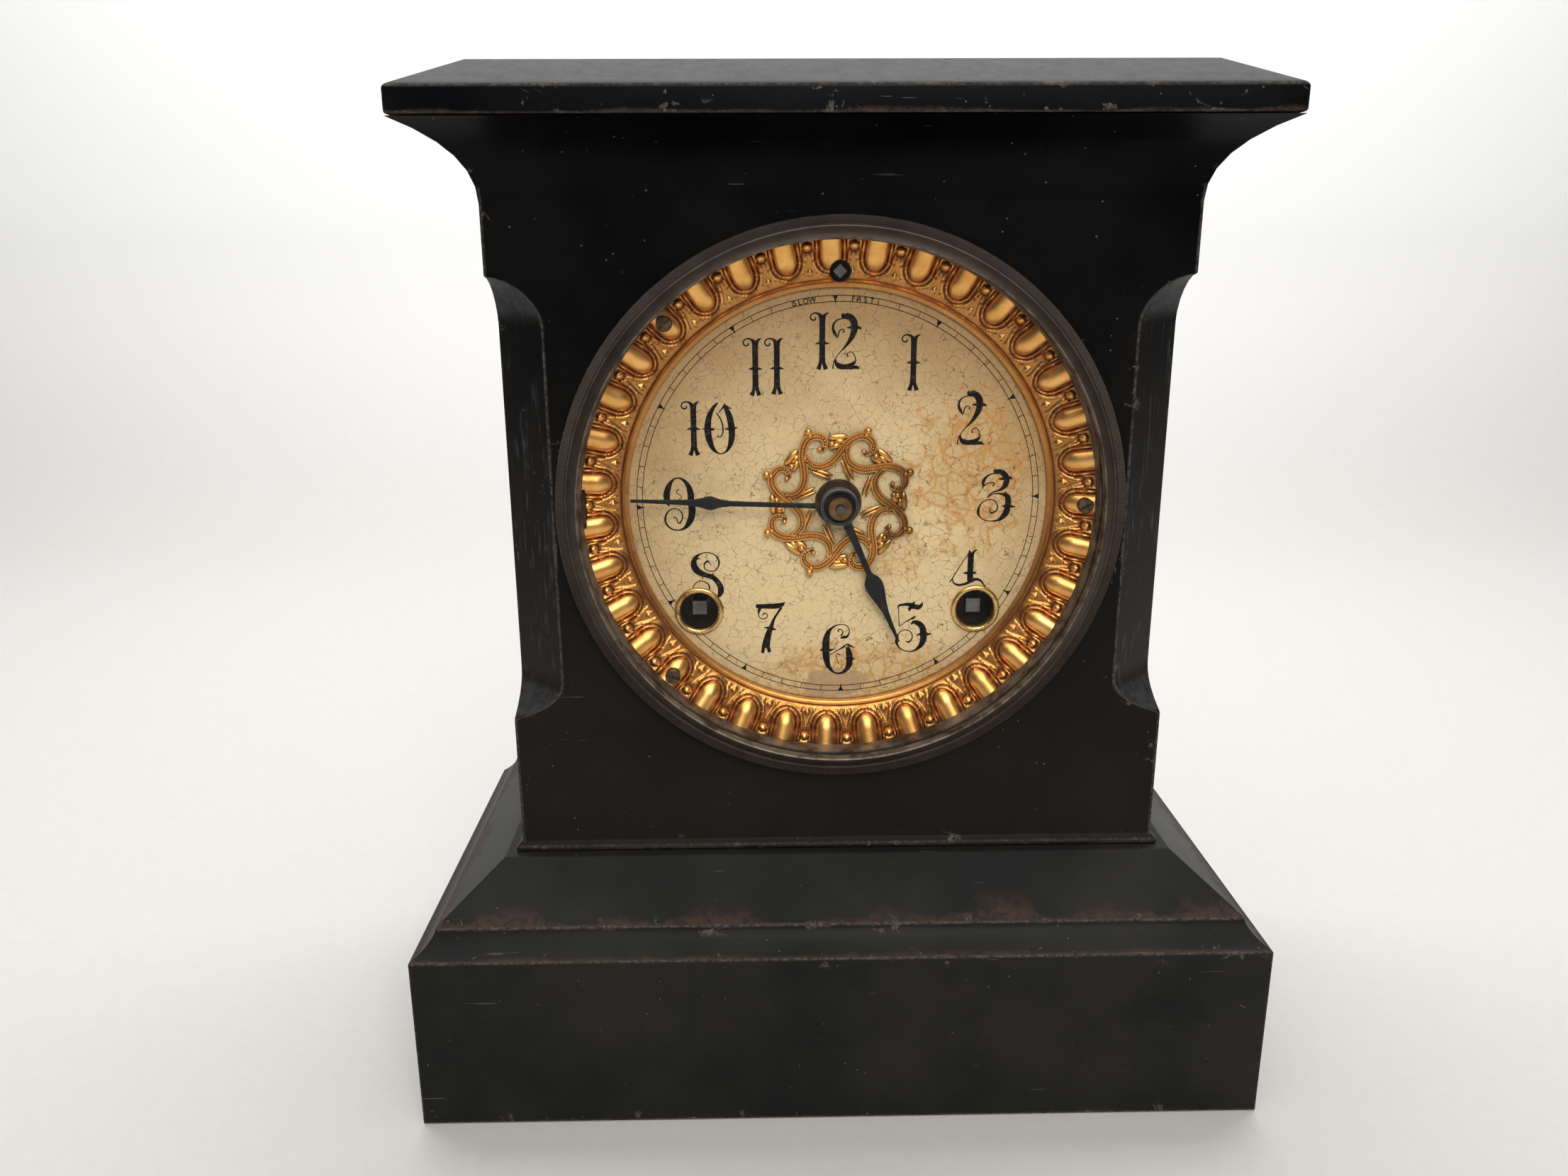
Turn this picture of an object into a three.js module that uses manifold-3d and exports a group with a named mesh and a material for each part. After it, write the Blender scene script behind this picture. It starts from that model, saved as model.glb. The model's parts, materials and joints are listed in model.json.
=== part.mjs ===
// Cast-iron mantel clock with an eight-day spring movement, strike and pendulum.
// Millimetres, +Z up, the dial faces -Y, the origin is under the middle of the base.
import * as THREE from "three";
import { mergeVertices } from "three/addons/utils/BufferGeometryUtils.js";
import Module from "manifold-3d";

const wasm = await Module();
wasm.setup();

// Case
const bodyHalfWidth = 91.5;
const bodyDepth = 100;
const bodyHeight = 197.9;
const frontWall = 5;
const sideWall = 4;
const chamferWall = 5;
const edgeBreak = 0.4;
const chamferSize = 14.1;
const chamferTopDrop = 37.1;
const chamferFootRise = 40.7;
const topStopLength = 12.7;
const topStopPower = 1.7;
const footStopLength = 12;
const footStopPower = 2.7;
const footProjection = 1.6;
const footHeight = 2.6;
const cavettoHeight = 19;
const cavettoPull = 6.5;
const slabProjection = 16.9;
const slabThickness = 6.5;
const hipInset = 16;
const hipRise = 7.6;
const capWall = 5.5;
const baseProjection = 27.5;
const baseFaceHeight = 51.3;
const coveInset = 6.2;
const coveRise = 5.9;
const coveHollow = 0.8;
const filletRise = 1;
const slopeInset = 17;
const slopeRise = 12.9;
const baseWall = 5;
const tieBoltRadius = 2.5;
const tieBoltHeadRadius = 5;
const tieBoltInset = 9.5;
const tieBoltBack = 60;

// Back cover
const backRecess = 4.8;
const coverThickness = 1.2;
const coverMargin = 1.2;
const openingRadius = 58;
const openingDrop = 14;
const doorOverlap = 3;
const doorThickness = 0.9;
const doorKnuckleRadius = 1.5;
const doorKnuckleLength = 18;
const doorPinRadius = 0.7;
const doorEyeLength = 4;
const knobRadius = 3;
const lugSize = 9;
const lugDepth = 10;

// Bezel and glass
const dialHeight = 171.1;
const bezelRadius = 76;
const bezelWidth = 6;
const bezelEdge = 3.6;
const bezelRidge = 6;
const bezelSkirtWall = 1.9;
const glassThickness = 1.2;
const glassRise = 4.8;
const glassLedge = 1;
const hingeInset = 1.6;
const hingeForward = 2.2;
const hingeBarrelRadius = 1;
const hingeBarrelLength = 8;
const hingePinRadius = 0.6;
const hingePinLength = 14;
const hingeLeafThickness = 1;
const hingeLeafDepth = 12;
const catchWidth = 8;
const catchThickness = 1;
const catchReach = 6;

// Dial
const dialDepth = 10.7;
const dialThickness = 0.8;
const dialSeatWidth = 6;
const dialSeatThickness = 2;
const surroundInnerRadius = 58;
const surroundOuterRadius = 72;
const surroundDish = 4.3;
const surroundSheet = 1.1;
const eggCount = 35;
const eggPhase = 8;
const eggHeight = 1.5;
const surroundNotchHeight = 14;
const surroundNotchDepth = 1.4;
const dialScrewEggs = [8, 21, 30];
const dialScrewRadius = 67.4;
const dialScrewHead = 2.1;
const dialScrewShank = 1;
const regulatorHoleRadius = 2.9;
const regulatorRadius = 62;
const windingX = 39.3;
const windingZ = -31.3;
const grommetRadius = 6.7;
const grommetBore = 5.3;
const grommetFlange = 0.7;
const ornamentRadius = 18.4;
const ornamentLobe = 1.3;
const ornamentLobes = 8;
const ornamentBore = 7.2;
const ornamentThickness = 1.2;
const ornamentEyeRadius = 2.6;
const ornamentEyeCircle = 13;

// Hands
const minuteLength = 57;
const minuteAngle = 272;
const minuteBulgeAt = 35;
const hourLength = 43.6;
const hourAngle = 156.6;
const hourBulgeAt = 25.6;
const handThickness = 0.8;
const hourHubRadius = 6.5;
const hourHubFront = 4.5;
const hourHubLength = 4;
const hourBladeSetback = 0.7;
const minuteHubRadius = 5.1;
const minuteHubFront = 8.3;
const minuteHubLength = 3.5;
const minuteBladeSetback = 1.4;
const washerRadius = 3.3;
const washerThickness = 1.5;
const arborTip = 1.3;
const slimArbor = 1.2;
const cannonRadius = 2.1;
const hourTubeBore = 2.6;
const hourTubeRadius = 3.4;

// Movement frame
const plateHalfWidth = 64;
const plateTopMargin = 8;
const plateBottom = -78;
const plateThickness = 1.6;
const frontPlateDepth = 20;
const rearRoom = 30.4;
const pillarRadius = 3;
const pillarEndRadius = 1.8;
const nutRadius = 4;
const nutThickness = 2.6;
const upperPillarInset = 14;
const upperPillarDrop = 16;
const lowerPillarInset = 7;
const lowerPillarRise = 8;
const postInset = 4;
const postHeight = 56;
const postRadius = 4.2;
const screwRadius = 1.3;
const screwHeadRadius = 3.2;
const screwHeadHeight = 2.4;

// Trains: tooth counts and modules
const greatTeeth = 48;
const greatModule = 1.36;
const secondTeeth = 48;
const secondModule = 0.9;
const trainPinionTeeth = 8;
const centreTeeth = 60;
const centreModule = 0.66;
const thirdTeeth = 60;
const thirdModule = 0.56;
const finePinionTeeth = 6;
const escapeTeeth = 52;
const escapeRadius = 13;
const escapeHeight = 32;
const vergeHeight = 50;
const strikeSecondModule = 0.74;
const pinWheelTeeth = 40;
const pinWheelModule = 0.74;
const warningTeeth = 36;
const warningModule = 0.6;
const strikeSecondBearing = 100;
const pinWheelBearing = 75;
const warningBearing = 40;
const flyBearing = 120;
const strikePins = 8;
const strikePinCircle = 11;
const strikePinRadius = 0.7;
const cannonTeeth = 8;
const minuteWheelTeeth = 24;
const minutePinionTeeth = 8;
const hourWheelTeeth = 32;
const cannonModule = 1.05;
const wheelThickness = 1.4;
const pinionLength = 4.4;
const arborRadius = 0.9;
const pivotRadius = 0.8;
const toothTip = 0.45;
const toothRoot = 1.35;
const centreStep = 8.4;
const thirdStep = 10;
const escapeStep = 5;
const secondStep = 5.5;
const pinWheelStep = 4;
const warningStep = 12;
const cannonStep = 2.8;
const hourWheelStep = 0.2;

// Mainsprings and winding
const windingArborRadius = 3.5;
const windingPivotRadius = 2.5;
const windingSquare = 4;
const windingSetback = 2.4;
const trainRoom = 20.4;
const springThickness = 0.5;
const springInnerRadius = 4.3;
const springOuterRadius = 26;
const springTurns = 4;
const springGap = 2.4;
const ratchetGap = 1.2;
const greatStep = 2.8;
const ratchetTeeth = 20;
const ratchetRadius = 10;
const ratchetDepth = 1.6;
const clickPivotAt = 17;
const clickHalfWidth = 1.6;
const clickSpan = 28;

// Pendulum, regulator and strike
const pendulumLength = 119;
const pendulumBehind = 10.4;
const pendulumRodRadius = 1;
const bobRadius = 17;
const bobThickness = 8;
const crutchLength = 30;
const springStripThickness = 0.4;
const springStripWidth = 5;
const suspensionFree = 4;
const eyeHalf = 2;
const eyeHeight = 5;
const cockRise = 5.5;
const cockHeightOfArm = 5;
const cockLeft = 5;
const cockRight = 2;
const cockFootDrop = 4;
const cockFootThickness = 1.7;
const cockLip = 1.5;
const regulatorModule = 0.6;
const regulatorPinionTeeth = 8;
const regulatorArborRadius = 1.4;
const regulatorSquare = 2.6;
const regulatorTip = 1.2;
const rackStandoff = 2;
const rackBacking = 1.4;
const blockCheek = 2;
const blockTie = 1.2;
const rackLength = 16;
const blockHeight = 6;
const flyHalfWidth = 7.5;
const flyLength = 18;
const hammerInset = 4;
const hammerHeight = 40;
const hammerHeadRadius = 4;
const hammerHeadLength = 11;
const hammerGap = 1.5;
const gongBehind = 22.4;
const gongDrop = -40;
const gongWireRadius = 1.1;
const gongInnerRadius = 8.2;
const gongPitch = 8.5;
const gongTurns = 3.5;
const gongPostRadius = 6.4;
const gongHeadHalf = 4;
const gongPostHalfWidth = 3;
const gongFootHalfWidth = 14;
const gongFootFront = 6;
const gongFootThickness = 3;

// Fits and facets
const clearance = 0.3;
const boreClearance = 0.5;
const roundFacets = 36;
const boreFacets = 8;
const smallFacets = 6;
const springFacets = 12;
const gongFacets = 14;
const bezelFacets = 48;
const cavettoSteps = 6;
const stopSteps = 6;
const coveSteps = 4;
const far = 400;

// Heights and places that follow from the sizes above
const baseHeight = baseFaceHeight + coveRise + filletRise + slopeRise;
const bodyFoot = baseHeight + clearance;
const slabBottom = bodyFoot + bodyHeight;
const caseMiddle = (bodyDepth - baseProjection) / 2;
const bezelInnerRadius = bezelRadius - bezelWidth;
const bezelSkirtRadius = bezelInnerRadius + bezelSkirtWall;
const surroundFront = dialDepth - clearance - surroundSheet - surroundDish;
const bezelSkirtEnd = surroundFront - 2 * clearance;
const boreRadius = Math.max(bezelSkirtRadius, surroundOuterRadius) + 2 * clearance;
const dialBack = dialDepth + dialThickness;
const seatFront = dialBack + clearance;
const seatBack = seatFront + dialSeatThickness;
const seatInnerRadius = boreRadius - dialSeatWidth;
const bossRadius = boreRadius + frontWall;
const coverFront = bodyDepth - backRecess - coverThickness;
const coverBack = coverFront + coverThickness;
const frontPlateBack = frontPlateDepth + plateThickness;
const backPlateBack = coverFront - rearRoom;
const backPlateFront = backPlateBack - plateThickness;
const plateSpacing = backPlateFront - frontPlateBack;
const springWidth = plateSpacing - trainRoom;
const plateTop = regulatorRadius + plateTopMargin;
const cockHeight = plateTop + cockRise;
const upperPillar = [plateHalfWidth - upperPillarInset, plateTop - upperPillarDrop];
const lowerPillar = [plateHalfWidth - lowerPillarInset, plateBottom + lowerPillarRise];
const postSpot = [plateHalfWidth - postInset, postHeight];
const hammerSpot = [hammerInset - plateHalfWidth, hammerHeight];
const doorRadius = openingRadius + doorOverlap;

// Materials
function finish(color, roughness, metalness) {
  return new THREE.MeshStandardMaterial({ color, roughness, metalness });
}
const enamel = finish(0x17181b, 0.38, 0.1);
const bareIron = finish(0x3a3835, 0.6, 0.7);
const gilt = finish(0xc98a3c, 0.35, 0.9);
const brass = finish(0xb08d4a, 0.4, 0.9);
const darkBrass = finish(0x4a4038, 0.5, 0.7);
const steel = finish(0x8a8a88, 0.4, 0.9);
const bluedSteel = finish(0x15161a, 0.35, 0.6);
const dialPaper = finish(0xd9bd8e, 0.8, 0);
const clearGlass = new THREE.MeshStandardMaterial({
  color: 0xffffff, roughness: 0.02, metalness: 0, transparent: true, opacity: 0.1,
});
const tinPlate = finish(0x6d6a60, 0.45, 0.8);

// Groups: the case frame has the body's front face at y = 0, the dial frame has its middle at the dial
const clock = new THREE.Group();
const caseFrame = new THREE.Group();
caseFrame.position.y = -caseMiddle;
const dialFrame = new THREE.Group();
dialFrame.position.z = dialHeight;
caseFrame.add(dialFrame);
clock.add(caseFrame);

// Solids: triangles with repeated corners are dropped and the faces are turned outwards
function toSolid(geometry) {
  const bare = geometry.clone();
  for (const name of Object.keys(bare.attributes)) {
    if (name !== "position") bare.deleteAttribute(name);
  }
  const merged = mergeVertices(bare, 1e-4);
  const points = merged.attributes.position.array;
  const triangles = [];
  let volume = 0;
  for (let i = 0; i < merged.index.count; i += 3) {
    const [a, b, c] = [0, 1, 2].map((k) => merged.index.getX(i + k));
    if (a === b || b === c || a === c) continue;
    triangles.push([a, b, c]);
    const [p, q, r] = [a, b, c].map((k) => new THREE.Vector3().fromArray(points, 3 * k));
    volume += p.dot(q.cross(r));
  }
  const ordered = volume < 0 ? triangles.map(([a, b, c]) => [a, c, b]) : triangles;
  return new wasm.Manifold(new wasm.Mesh({
    numProp: 3,
    vertProperties: new Float32Array(points),
    triVerts: new Uint32Array(ordered.flat()),
  }));
}

function toGeometry(solid) {
  const mesh = solid.getMesh();
  const geometry = new THREE.BufferGeometry();
  geometry.setAttribute("position", new THREE.BufferAttribute(new Float32Array(mesh.vertProperties), 3));
  geometry.setIndex(new THREE.BufferAttribute(new Uint32Array(mesh.triVerts), 1));
  geometry.computeVertexNormals();
  return geometry;
}

function place(frame, name, solid, material) {
  const mesh = new THREE.Mesh(toGeometry(solid), material);
  mesh.name = name;
  frame.add(mesh);
  return mesh;
}

function joined(...solids) {
  return solids.reduce((whole, piece) => whole.add(piece));
}

function cut(solid, ...tools) {
  return tools.reduce((rest, tool) => rest.subtract(tool), solid);
}

// Shapes: outlines lie in the x-z plane and are drawn out along y
function box(x0, x1, y0, y1, z0, z1) {
  const geometry = new THREE.BoxGeometry(x1 - x0, y1 - y0, z1 - z0);
  geometry.translate((x0 + x1) / 2, (y0 + y1) / 2, (z0 + z1) / 2);
  return toSolid(geometry);
}

function outline(points) {
  return new THREE.Shape(points.map(([x, z]) => new THREE.Vector2(x, z)));
}

function ringPoints(radius, facets, x = 0, z = 0) {
  return Array.from({ length: facets }, (_, k) => {
    const angle = (2 * Math.PI * k) / facets;
    return [x + radius * Math.cos(angle), z + radius * Math.sin(angle)];
  });
}

function sheet(points, y0, y1, holes = []) {
  const shape = outline(points);
  shape.holes = holes.map((hole) => outline(hole));
  const geometry = new THREE.ExtrudeGeometry(shape, { depth: y1 - y0, bevelEnabled: false, curveSegments: 1 });
  geometry.rotateX(Math.PI / 2);
  geometry.translate(0, y1, 0);
  return toSolid(geometry);
}

function turned(profile, facets, x = 0, z = 0) {
  const closed = profile[0][0] > 0 ? [...profile, profile[0]] : profile;
  const points = closed.map(([radius, y]) => new THREE.Vector2(radius, y));
  const geometry = new THREE.LatheGeometry(points, facets);
  geometry.translate(x, 0, z);
  return toSolid(geometry);
}

function rod(radius, y0, y1, x = 0, z = 0, facets = smallFacets) {
  return turned([[0, y0], [radius, y0], [radius, y1], [0, y1]], facets, x, z);
}

function tube(radius, bore, y0, y1, x = 0, z = 0, facets = smallFacets) {
  return turned([[bore, y0], [radius, y0], [radius, y1], [bore, y1]], facets, x, z);
}

function upright(radius, z0, z1, x, y, facets = smallFacets) {
  const geometry = new THREE.CylinderGeometry(radius, radius, z1 - z0, facets);
  geometry.rotateX(Math.PI / 2);
  geometry.translate(x, y, (z0 + z1) / 2);
  return toSolid(geometry);
}

function wire(points, radius, facets) {
  const path = new THREE.CatmullRomCurve3(points.map((p) => new THREE.Vector3(...p)), false, "centripetal");
  const section = new THREE.Shape(ringPoints(radius, facets).map(([x, z]) => new THREE.Vector2(x, z)));
  const steps = 2 * (points.length - 1);
  return toSolid(new THREE.ExtrudeGeometry(section, { steps, bevelEnabled: false, extrudePath: path }));
}

// A stack of like outlines, one for each height, joined into one solid
function stack(levels) {
  const count = levels[0].points.length;
  const positions = levels.flatMap(({ z, points }) => points.flatMap(([x, y]) => [x, y, z]));
  const index = [];
  for (let level = 0; level < levels.length - 1; level++) {
    for (let k = 0; k < count; k++) {
      const a = level * count + k;
      const b = level * count + ((k + 1) % count);
      index.push(a, b, a + count, b, b + count, a + count);
    }
  }
  const capOf = (level) => {
    const ring = levels[level].points.map(([x, y]) => new THREE.Vector2(x, y));
    return THREE.ShapeUtils.triangulateShape(ring, []).map((face) => face.map((k) => level * count + k));
  };
  const turnedOver = THREE.ShapeUtils.area(levels[0].points.map(([x, y]) => new THREE.Vector2(x, y))) < 0;
  const bottom = capOf(0).map((face) => (turnedOver ? face : face.toReversed()));
  const top = capOf(levels.length - 1).map((face) => (turnedOver ? face.toReversed() : face));
  index.push(...bottom.flat(), ...top.flat());
  const geometry = new THREE.BufferGeometry();
  geometry.setAttribute("position", new THREE.Float32BufferAttribute(positions, 3));
  geometry.setIndex(index);
  return toSolid(geometry);
}

// An outline seen from above: a flat back and two front corners that can be cut off
function plan(halfWidth, front, back, corner) {
  return [
    [-halfWidth, back],
    [-halfWidth, front + corner],
    [-halfWidth + corner, front],
    [halfWidth - corner, front],
    [halfWidth, front + corner],
    [halfWidth, back],
  ];
}

function flared(z, projection, corner) {
  return { z, points: plan(bodyHalfWidth + projection, -projection, bodyDepth, corner) };
}

// Base: an upright face, a small cove, a fillet and a bevel up to the body
const slopeTopProjection = baseProjection - coveInset - slopeInset;

function basePlinth() {
  const coveSlant = Math.hypot(coveInset, coveRise);
  const coveLevels = Array.from({ length: coveSteps + 1 }, (_, k) => {
    const t = k / coveSteps;
    const hollow = (coveHollow * 4 * t * (1 - t)) / coveSlant;
    const projection = baseProjection - coveInset * t - hollow * coveRise;
    return flared(baseFaceHeight + coveRise * t - hollow * coveInset, projection, edgeBreak);
  });
  const outer = stack([
    flared(0, baseProjection, edgeBreak),
    ...coveLevels,
    flared(baseFaceHeight + coveRise + filletRise, baseProjection - coveInset, edgeBreak),
    flared(baseHeight, slopeTopProjection, edgeBreak),
  ]);
  const hollowHalf = bodyHalfWidth + baseProjection - baseWall;
  const hollowFront = -baseProjection + baseWall;
  const hollow = box(-hollowHalf, hollowHalf, hollowFront, bodyDepth - baseWall, -1, baseFaceHeight - baseWall);
  const innerHalf = bodyHalfWidth + slopeTopProjection - baseWall;
  const innerFront = -slopeTopProjection + baseWall;
  const upperHollow = box(-innerHalf, innerHalf, innerFront, bodyDepth - baseWall, 0, baseHeight - baseWall);
  const boltHoles = tieBoltSpots.map(([x, y]) => upright(tieBoltRadius + boreClearance, 0, far, x, y));
  return cut(outer, hollow, upperHollow, ...boltHoles);
}

// Body: front and two sides in one casting, with a foot fillet, stopped corner cuts and a cavetto
function bodyLevels() {
  const footTop = bodyFoot + footHeight;
  const stopFoot = baseHeight + chamferFootRise;
  const stopTop = slabBottom - chamferTopDrop;
  const levels = [
    flared(bodyFoot, footProjection, edgeBreak),
    flared(footTop - footProjection, footProjection, edgeBreak),
    flared(footTop, 0, edgeBreak),
  ];
  for (let k = 0; k <= stopSteps; k++) {
    const t = k / stopSteps;
    const corner = edgeBreak + (chamferSize - edgeBreak) * (1 - (1 - t) ** footStopPower);
    levels.push(flared(stopFoot + footStopLength * t, 0, corner));
  }
  for (let k = stopSteps; k >= 0; k--) {
    const turn = ((k / stopSteps) * Math.PI) / 2;
    const corner = edgeBreak + (chamferSize - edgeBreak) * Math.sin(turn) ** (2 / topStopPower);
    const rise = Math.max(0, Math.cos(turn)) ** (2 / topStopPower);
    levels.push(flared(stopTop - topStopLength * (1 - rise), 0, corner));
  }
  for (let k = 0; k <= cavettoSteps; k++) {
    const t = 1 - k / cavettoSteps;
    const projection = slabProjection * (1 - t) ** 2;
    const drop = 2 * t * (1 - t) * cavettoPull + t * t * cavettoHeight;
    levels.push(flared(slabBottom - drop - clearance, projection, edgeBreak));
  }
  return levels;
}

const innerHalfWidth = bodyHalfWidth - sideWall;
const innerCorner = chamferSize + chamferWall * Math.SQRT2 - frontWall - sideWall;
const tieBoltSpots = [-1, 1].map((side) => [side * (innerHalfWidth - tieBoltInset), tieBoltBack]);
const coverScrewSpots = [-1, 1].map((side) => side * (innerHalfWidth - lugSize / 2));
const coverScrewHeight = (bodyFoot + slabBottom) / 2;

function caseBody() {
  const outer = stack(bodyLevels());
  const cavity = stack([
    { z: 0, points: plan(innerHalfWidth, frontWall, bodyDepth + 1, innerCorner) },
    { z: far, points: plan(innerHalfWidth, frontWall, bodyDepth + 1, innerCorner) },
  ]);
  const bore = rod(boreRadius, -far, frontWall + 1, 0, dialHeight, roundFacets);
  const seat = turned([
    [boreRadius, frontWall - 1],
    [bossRadius, frontWall - 1],
    [bossRadius, seatBack],
    [seatInnerRadius, seatBack],
    [seatInnerRadius, seatFront],
    [boreRadius, seatFront],
  ], roundFacets, 0, dialHeight);
  const posts = postSpots.map(([x, z]) =>
    rod(postRadius, frontWall - 1, frontPlateDepth - clearance, x, dialHeight + z));
  const postHoles = postSpots.map(([x, z]) =>
    rod(screwRadius + boreClearance, frontWall + 2, frontPlateDepth, x, dialHeight + z));
  const lugs = coverScrewSpots.map((x) => {
    const back = coverFront - clearance;
    const outerX = x + Math.sign(x) * (lugSize / 2 + 1);
    const innerX = x - Math.sign(x) * (lugSize / 2);
    return box(Math.min(outerX, innerX), Math.max(outerX, innerX), back - lugDepth, back,
      coverScrewHeight - lugSize / 2, coverScrewHeight + lugSize / 2);
  });
  const lugHoles = coverScrewSpots.map((x) =>
    rod(screwRadius + boreClearance, coverFront - lugDepth + 2, bodyDepth, x, coverScrewHeight));
  const leafSlot = box(
    -hingeX - hingeLeafThickness, -boreRadius + 2, -1, seatFront + 1,
    dialHeight - hingeBarrelLength / 2 - boreClearance, dialHeight + hingeBarrelLength / 2 + boreClearance);
  const catchSlot = box(
    catchX - 2 * clearance, catchX + catchThickness + 4 * clearance, -1, frontWall + catchReach,
    dialHeight - catchWidth / 2 - boreClearance, dialHeight + catchWidth / 2 + boreClearance);
  const screwHoles = dialScrewSpots.map(([x, z]) =>
    rod(dialScrewShank + boreClearance, dialDepth, seatBack + 1, x, dialHeight + z));
  const shell = joined(cut(outer, cavity, bore), seat, ...posts, ...lugs);
  return cut(shell, ...postHoles, ...lugHoles, leafSlot, catchSlot, ...screwHoles);
}

// Top: a slab with a low hipped roof, hollow underneath, with two bosses for the tie bolts
function topCap() {
  const slabTop = slabBottom + slabThickness;
  const outer = stack([
    flared(slabBottom, slabProjection - edgeBreak, edgeBreak),
    flared(slabBottom + edgeBreak, slabProjection, edgeBreak),
    flared(slabTop, slabProjection, edgeBreak),
    flared(slabTop + hipRise, slabProjection - hipInset, edgeBreak),
  ]);
  const hollow = box(-innerHalfWidth, innerHalfWidth, frontWall, bodyDepth - frontWall,
    slabBottom - 1, slabTop + hipRise - capWall);
  const bosses = tieBoltSpots.map(([x, y]) =>
    upright(tieBoltHeadRadius, slabBottom, slabTop + hipRise - capWall + 1, x, y));
  const boltHoles = tieBoltSpots.map(([x, y]) =>
    upright(tieBoltRadius + boreClearance, 0, slabTop, x, y));
  return cut(joined(cut(outer, hollow), ...bosses), ...boltHoles);
}

function tieBolt([x, y]) {
  const seat = baseHeight - baseWall - clearance;
  const shank = upright(tieBoltRadius, seat - 1, slabBottom + slabThickness - clearance, x, y);
  return joined(shank, upright(tieBoltHeadRadius, seat - tieBoltRadius, seat, x, y, 6));
}

// Back: a tin cover with a round opening, and a round door on two eyes and a pin
const openingZ = -openingDrop;
const doorHingeX = doorRadius + doorKnuckleRadius + clearance;
const doorFront = coverBack + clearance;
const doorHingeY = doorFront + doorKnuckleRadius;

function doorEye(z0, z1, bore) {
  const ring = upright(doorKnuckleRadius, z0, z1, doorHingeX, doorHingeY);
  return cut(ring, upright(bore, z0 - 1, z1 + 1, doorHingeX, doorHingeY));
}

function backCover() {
  const half = innerHalfWidth - coverMargin;
  const bottom = bodyFoot + coverMargin - dialHeight;
  const top = slabBottom - coverMargin - dialHeight;
  const screwHoles = coverScrewSpots.map((x) =>
    ringPoints(screwRadius + boreClearance, smallFacets, x, coverScrewHeight - dialHeight));
  const plate = sheet([[-half, bottom], [half, bottom], [half, top], [-half, top]], coverFront, coverBack,
    [ringPoints(openingRadius, roundFacets, 0, openingZ), ...screwHoles]);
  const inner = doorKnuckleLength / 2 + clearance;
  const eyes = [[-inner - doorEyeLength, -inner], [inner, inner + doorEyeLength]].map(([low, high]) => {
    const foot = box(doorHingeX - doorKnuckleRadius, doorHingeX + doorKnuckleRadius, coverBack - 0.5, doorHingeY,
      openingZ + low, openingZ + high);
    const bore = upright(doorPinRadius + clearance, openingZ + low - 1, openingZ + high + 1,
      doorHingeX, doorHingeY);
    return joined(cut(foot, bore), doorEye(openingZ + low, openingZ + high, doorPinRadius + clearance));
  });
  return joined(plate, ...eyes);
}

function backDoor() {
  const disc = rod(doorRadius, doorFront, doorFront + doorThickness, 0, openingZ, roundFacets);
  const half = doorKnuckleLength / 2;
  const low = openingZ - half;
  const high = openingZ + half;
  const tab = box(doorRadius - half, doorHingeX, doorFront, doorFront + doorThickness, low, high);
  const tabBore = upright(doorPinRadius + clearance, low - 1, high + 1, doorHingeX, doorHingeY);
  const knuckle = doorEye(low, high, doorPinRadius + clearance);
  const knobX = -doorRadius + 3 * knobRadius;
  const knob = rod(knobRadius, doorFront + doorThickness - 0.2, bodyDepth - 1, knobX, openingZ);
  return joined(disc, cut(tab, tabBore), knuckle, knob);
}

// Bezel: a rim, a groove, a ridge and a skirt that enters the case
const hingeX = bezelRadius - hingeInset;
const catchX = bezelSkirtRadius + 1.5;

function bezelRing() {
  const glassBack = -glassLedge;
  const glassFront = glassBack - glassThickness - 3 * clearance;
  const ring = turned([
    [bezelRadius, -clearance],
    [bezelRadius, -bezelEdge + 0.7],
    [bezelRadius - 0.5, -bezelEdge],
    [bezelRadius - 0.52 * bezelWidth, -bezelEdge - 0.3],
    [bezelInnerRadius + 1.4, -bezelRidge],
    [bezelInnerRadius + 0.5, -bezelRidge],
    [bezelInnerRadius, -bezelRidge + 0.5],
    [bezelInnerRadius, glassFront],
    [bezelInnerRadius + 1.3, glassFront],
    [bezelInnerRadius + 1.3, glassBack],
    [bezelInnerRadius, glassBack],
    [bezelInnerRadius, bezelSkirtEnd],
    [bezelSkirtRadius, bezelSkirtEnd],
    [bezelSkirtRadius, -clearance],
  ], bezelFacets);
  const halfBarrel = hingeBarrelLength / 2 + clearance;
  const barrelRoom = box(-bezelRadius - 1, -hingeX + hingeBarrelRadius + clearance,
    -hingeForward - hingeBarrelRadius - clearance / 2, 1, -halfBarrel, halfBarrel);
  const reach = Math.sqrt(bezelRadius ** 2 - hingeX ** 2) + 1;
  const heelRelief = box(-bezelRadius - 1, -hingeX + 0.4, -hingeForward + 1.2, 1, -reach, reach);
  const pinRoom = upright(hingePinRadius + clearance, -hingePinLength / 2 - clearance,
    hingePinLength / 2 + clearance, -hingeX, -hingeForward);
  const catchRoom = box(catchX - clearance, catchX + catchThickness + clearance, -2, 1,
    -catchWidth / 2 - clearance, catchWidth / 2 + clearance);
  return cut(ring, barrelRoom, heelRelief, pinRoom, catchRoom);
}

function bezelGlass() {
  const rim = bezelInnerRadius + 1;
  const back = -glassLedge - clearance;
  const dome = (radius) => glassRise * (1 - (radius / rim) ** 2);
  const radii = [0, 0.35, 0.7, 1].map((share) => share * rim);
  const inner = radii.map((radius) => [radius, back - dome(radius)]);
  const outer = radii.toReversed().map((radius) => [radius, back - glassThickness - dome(radius)]);
  return turned([...inner, ...outer], roundFacets);
}

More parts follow.
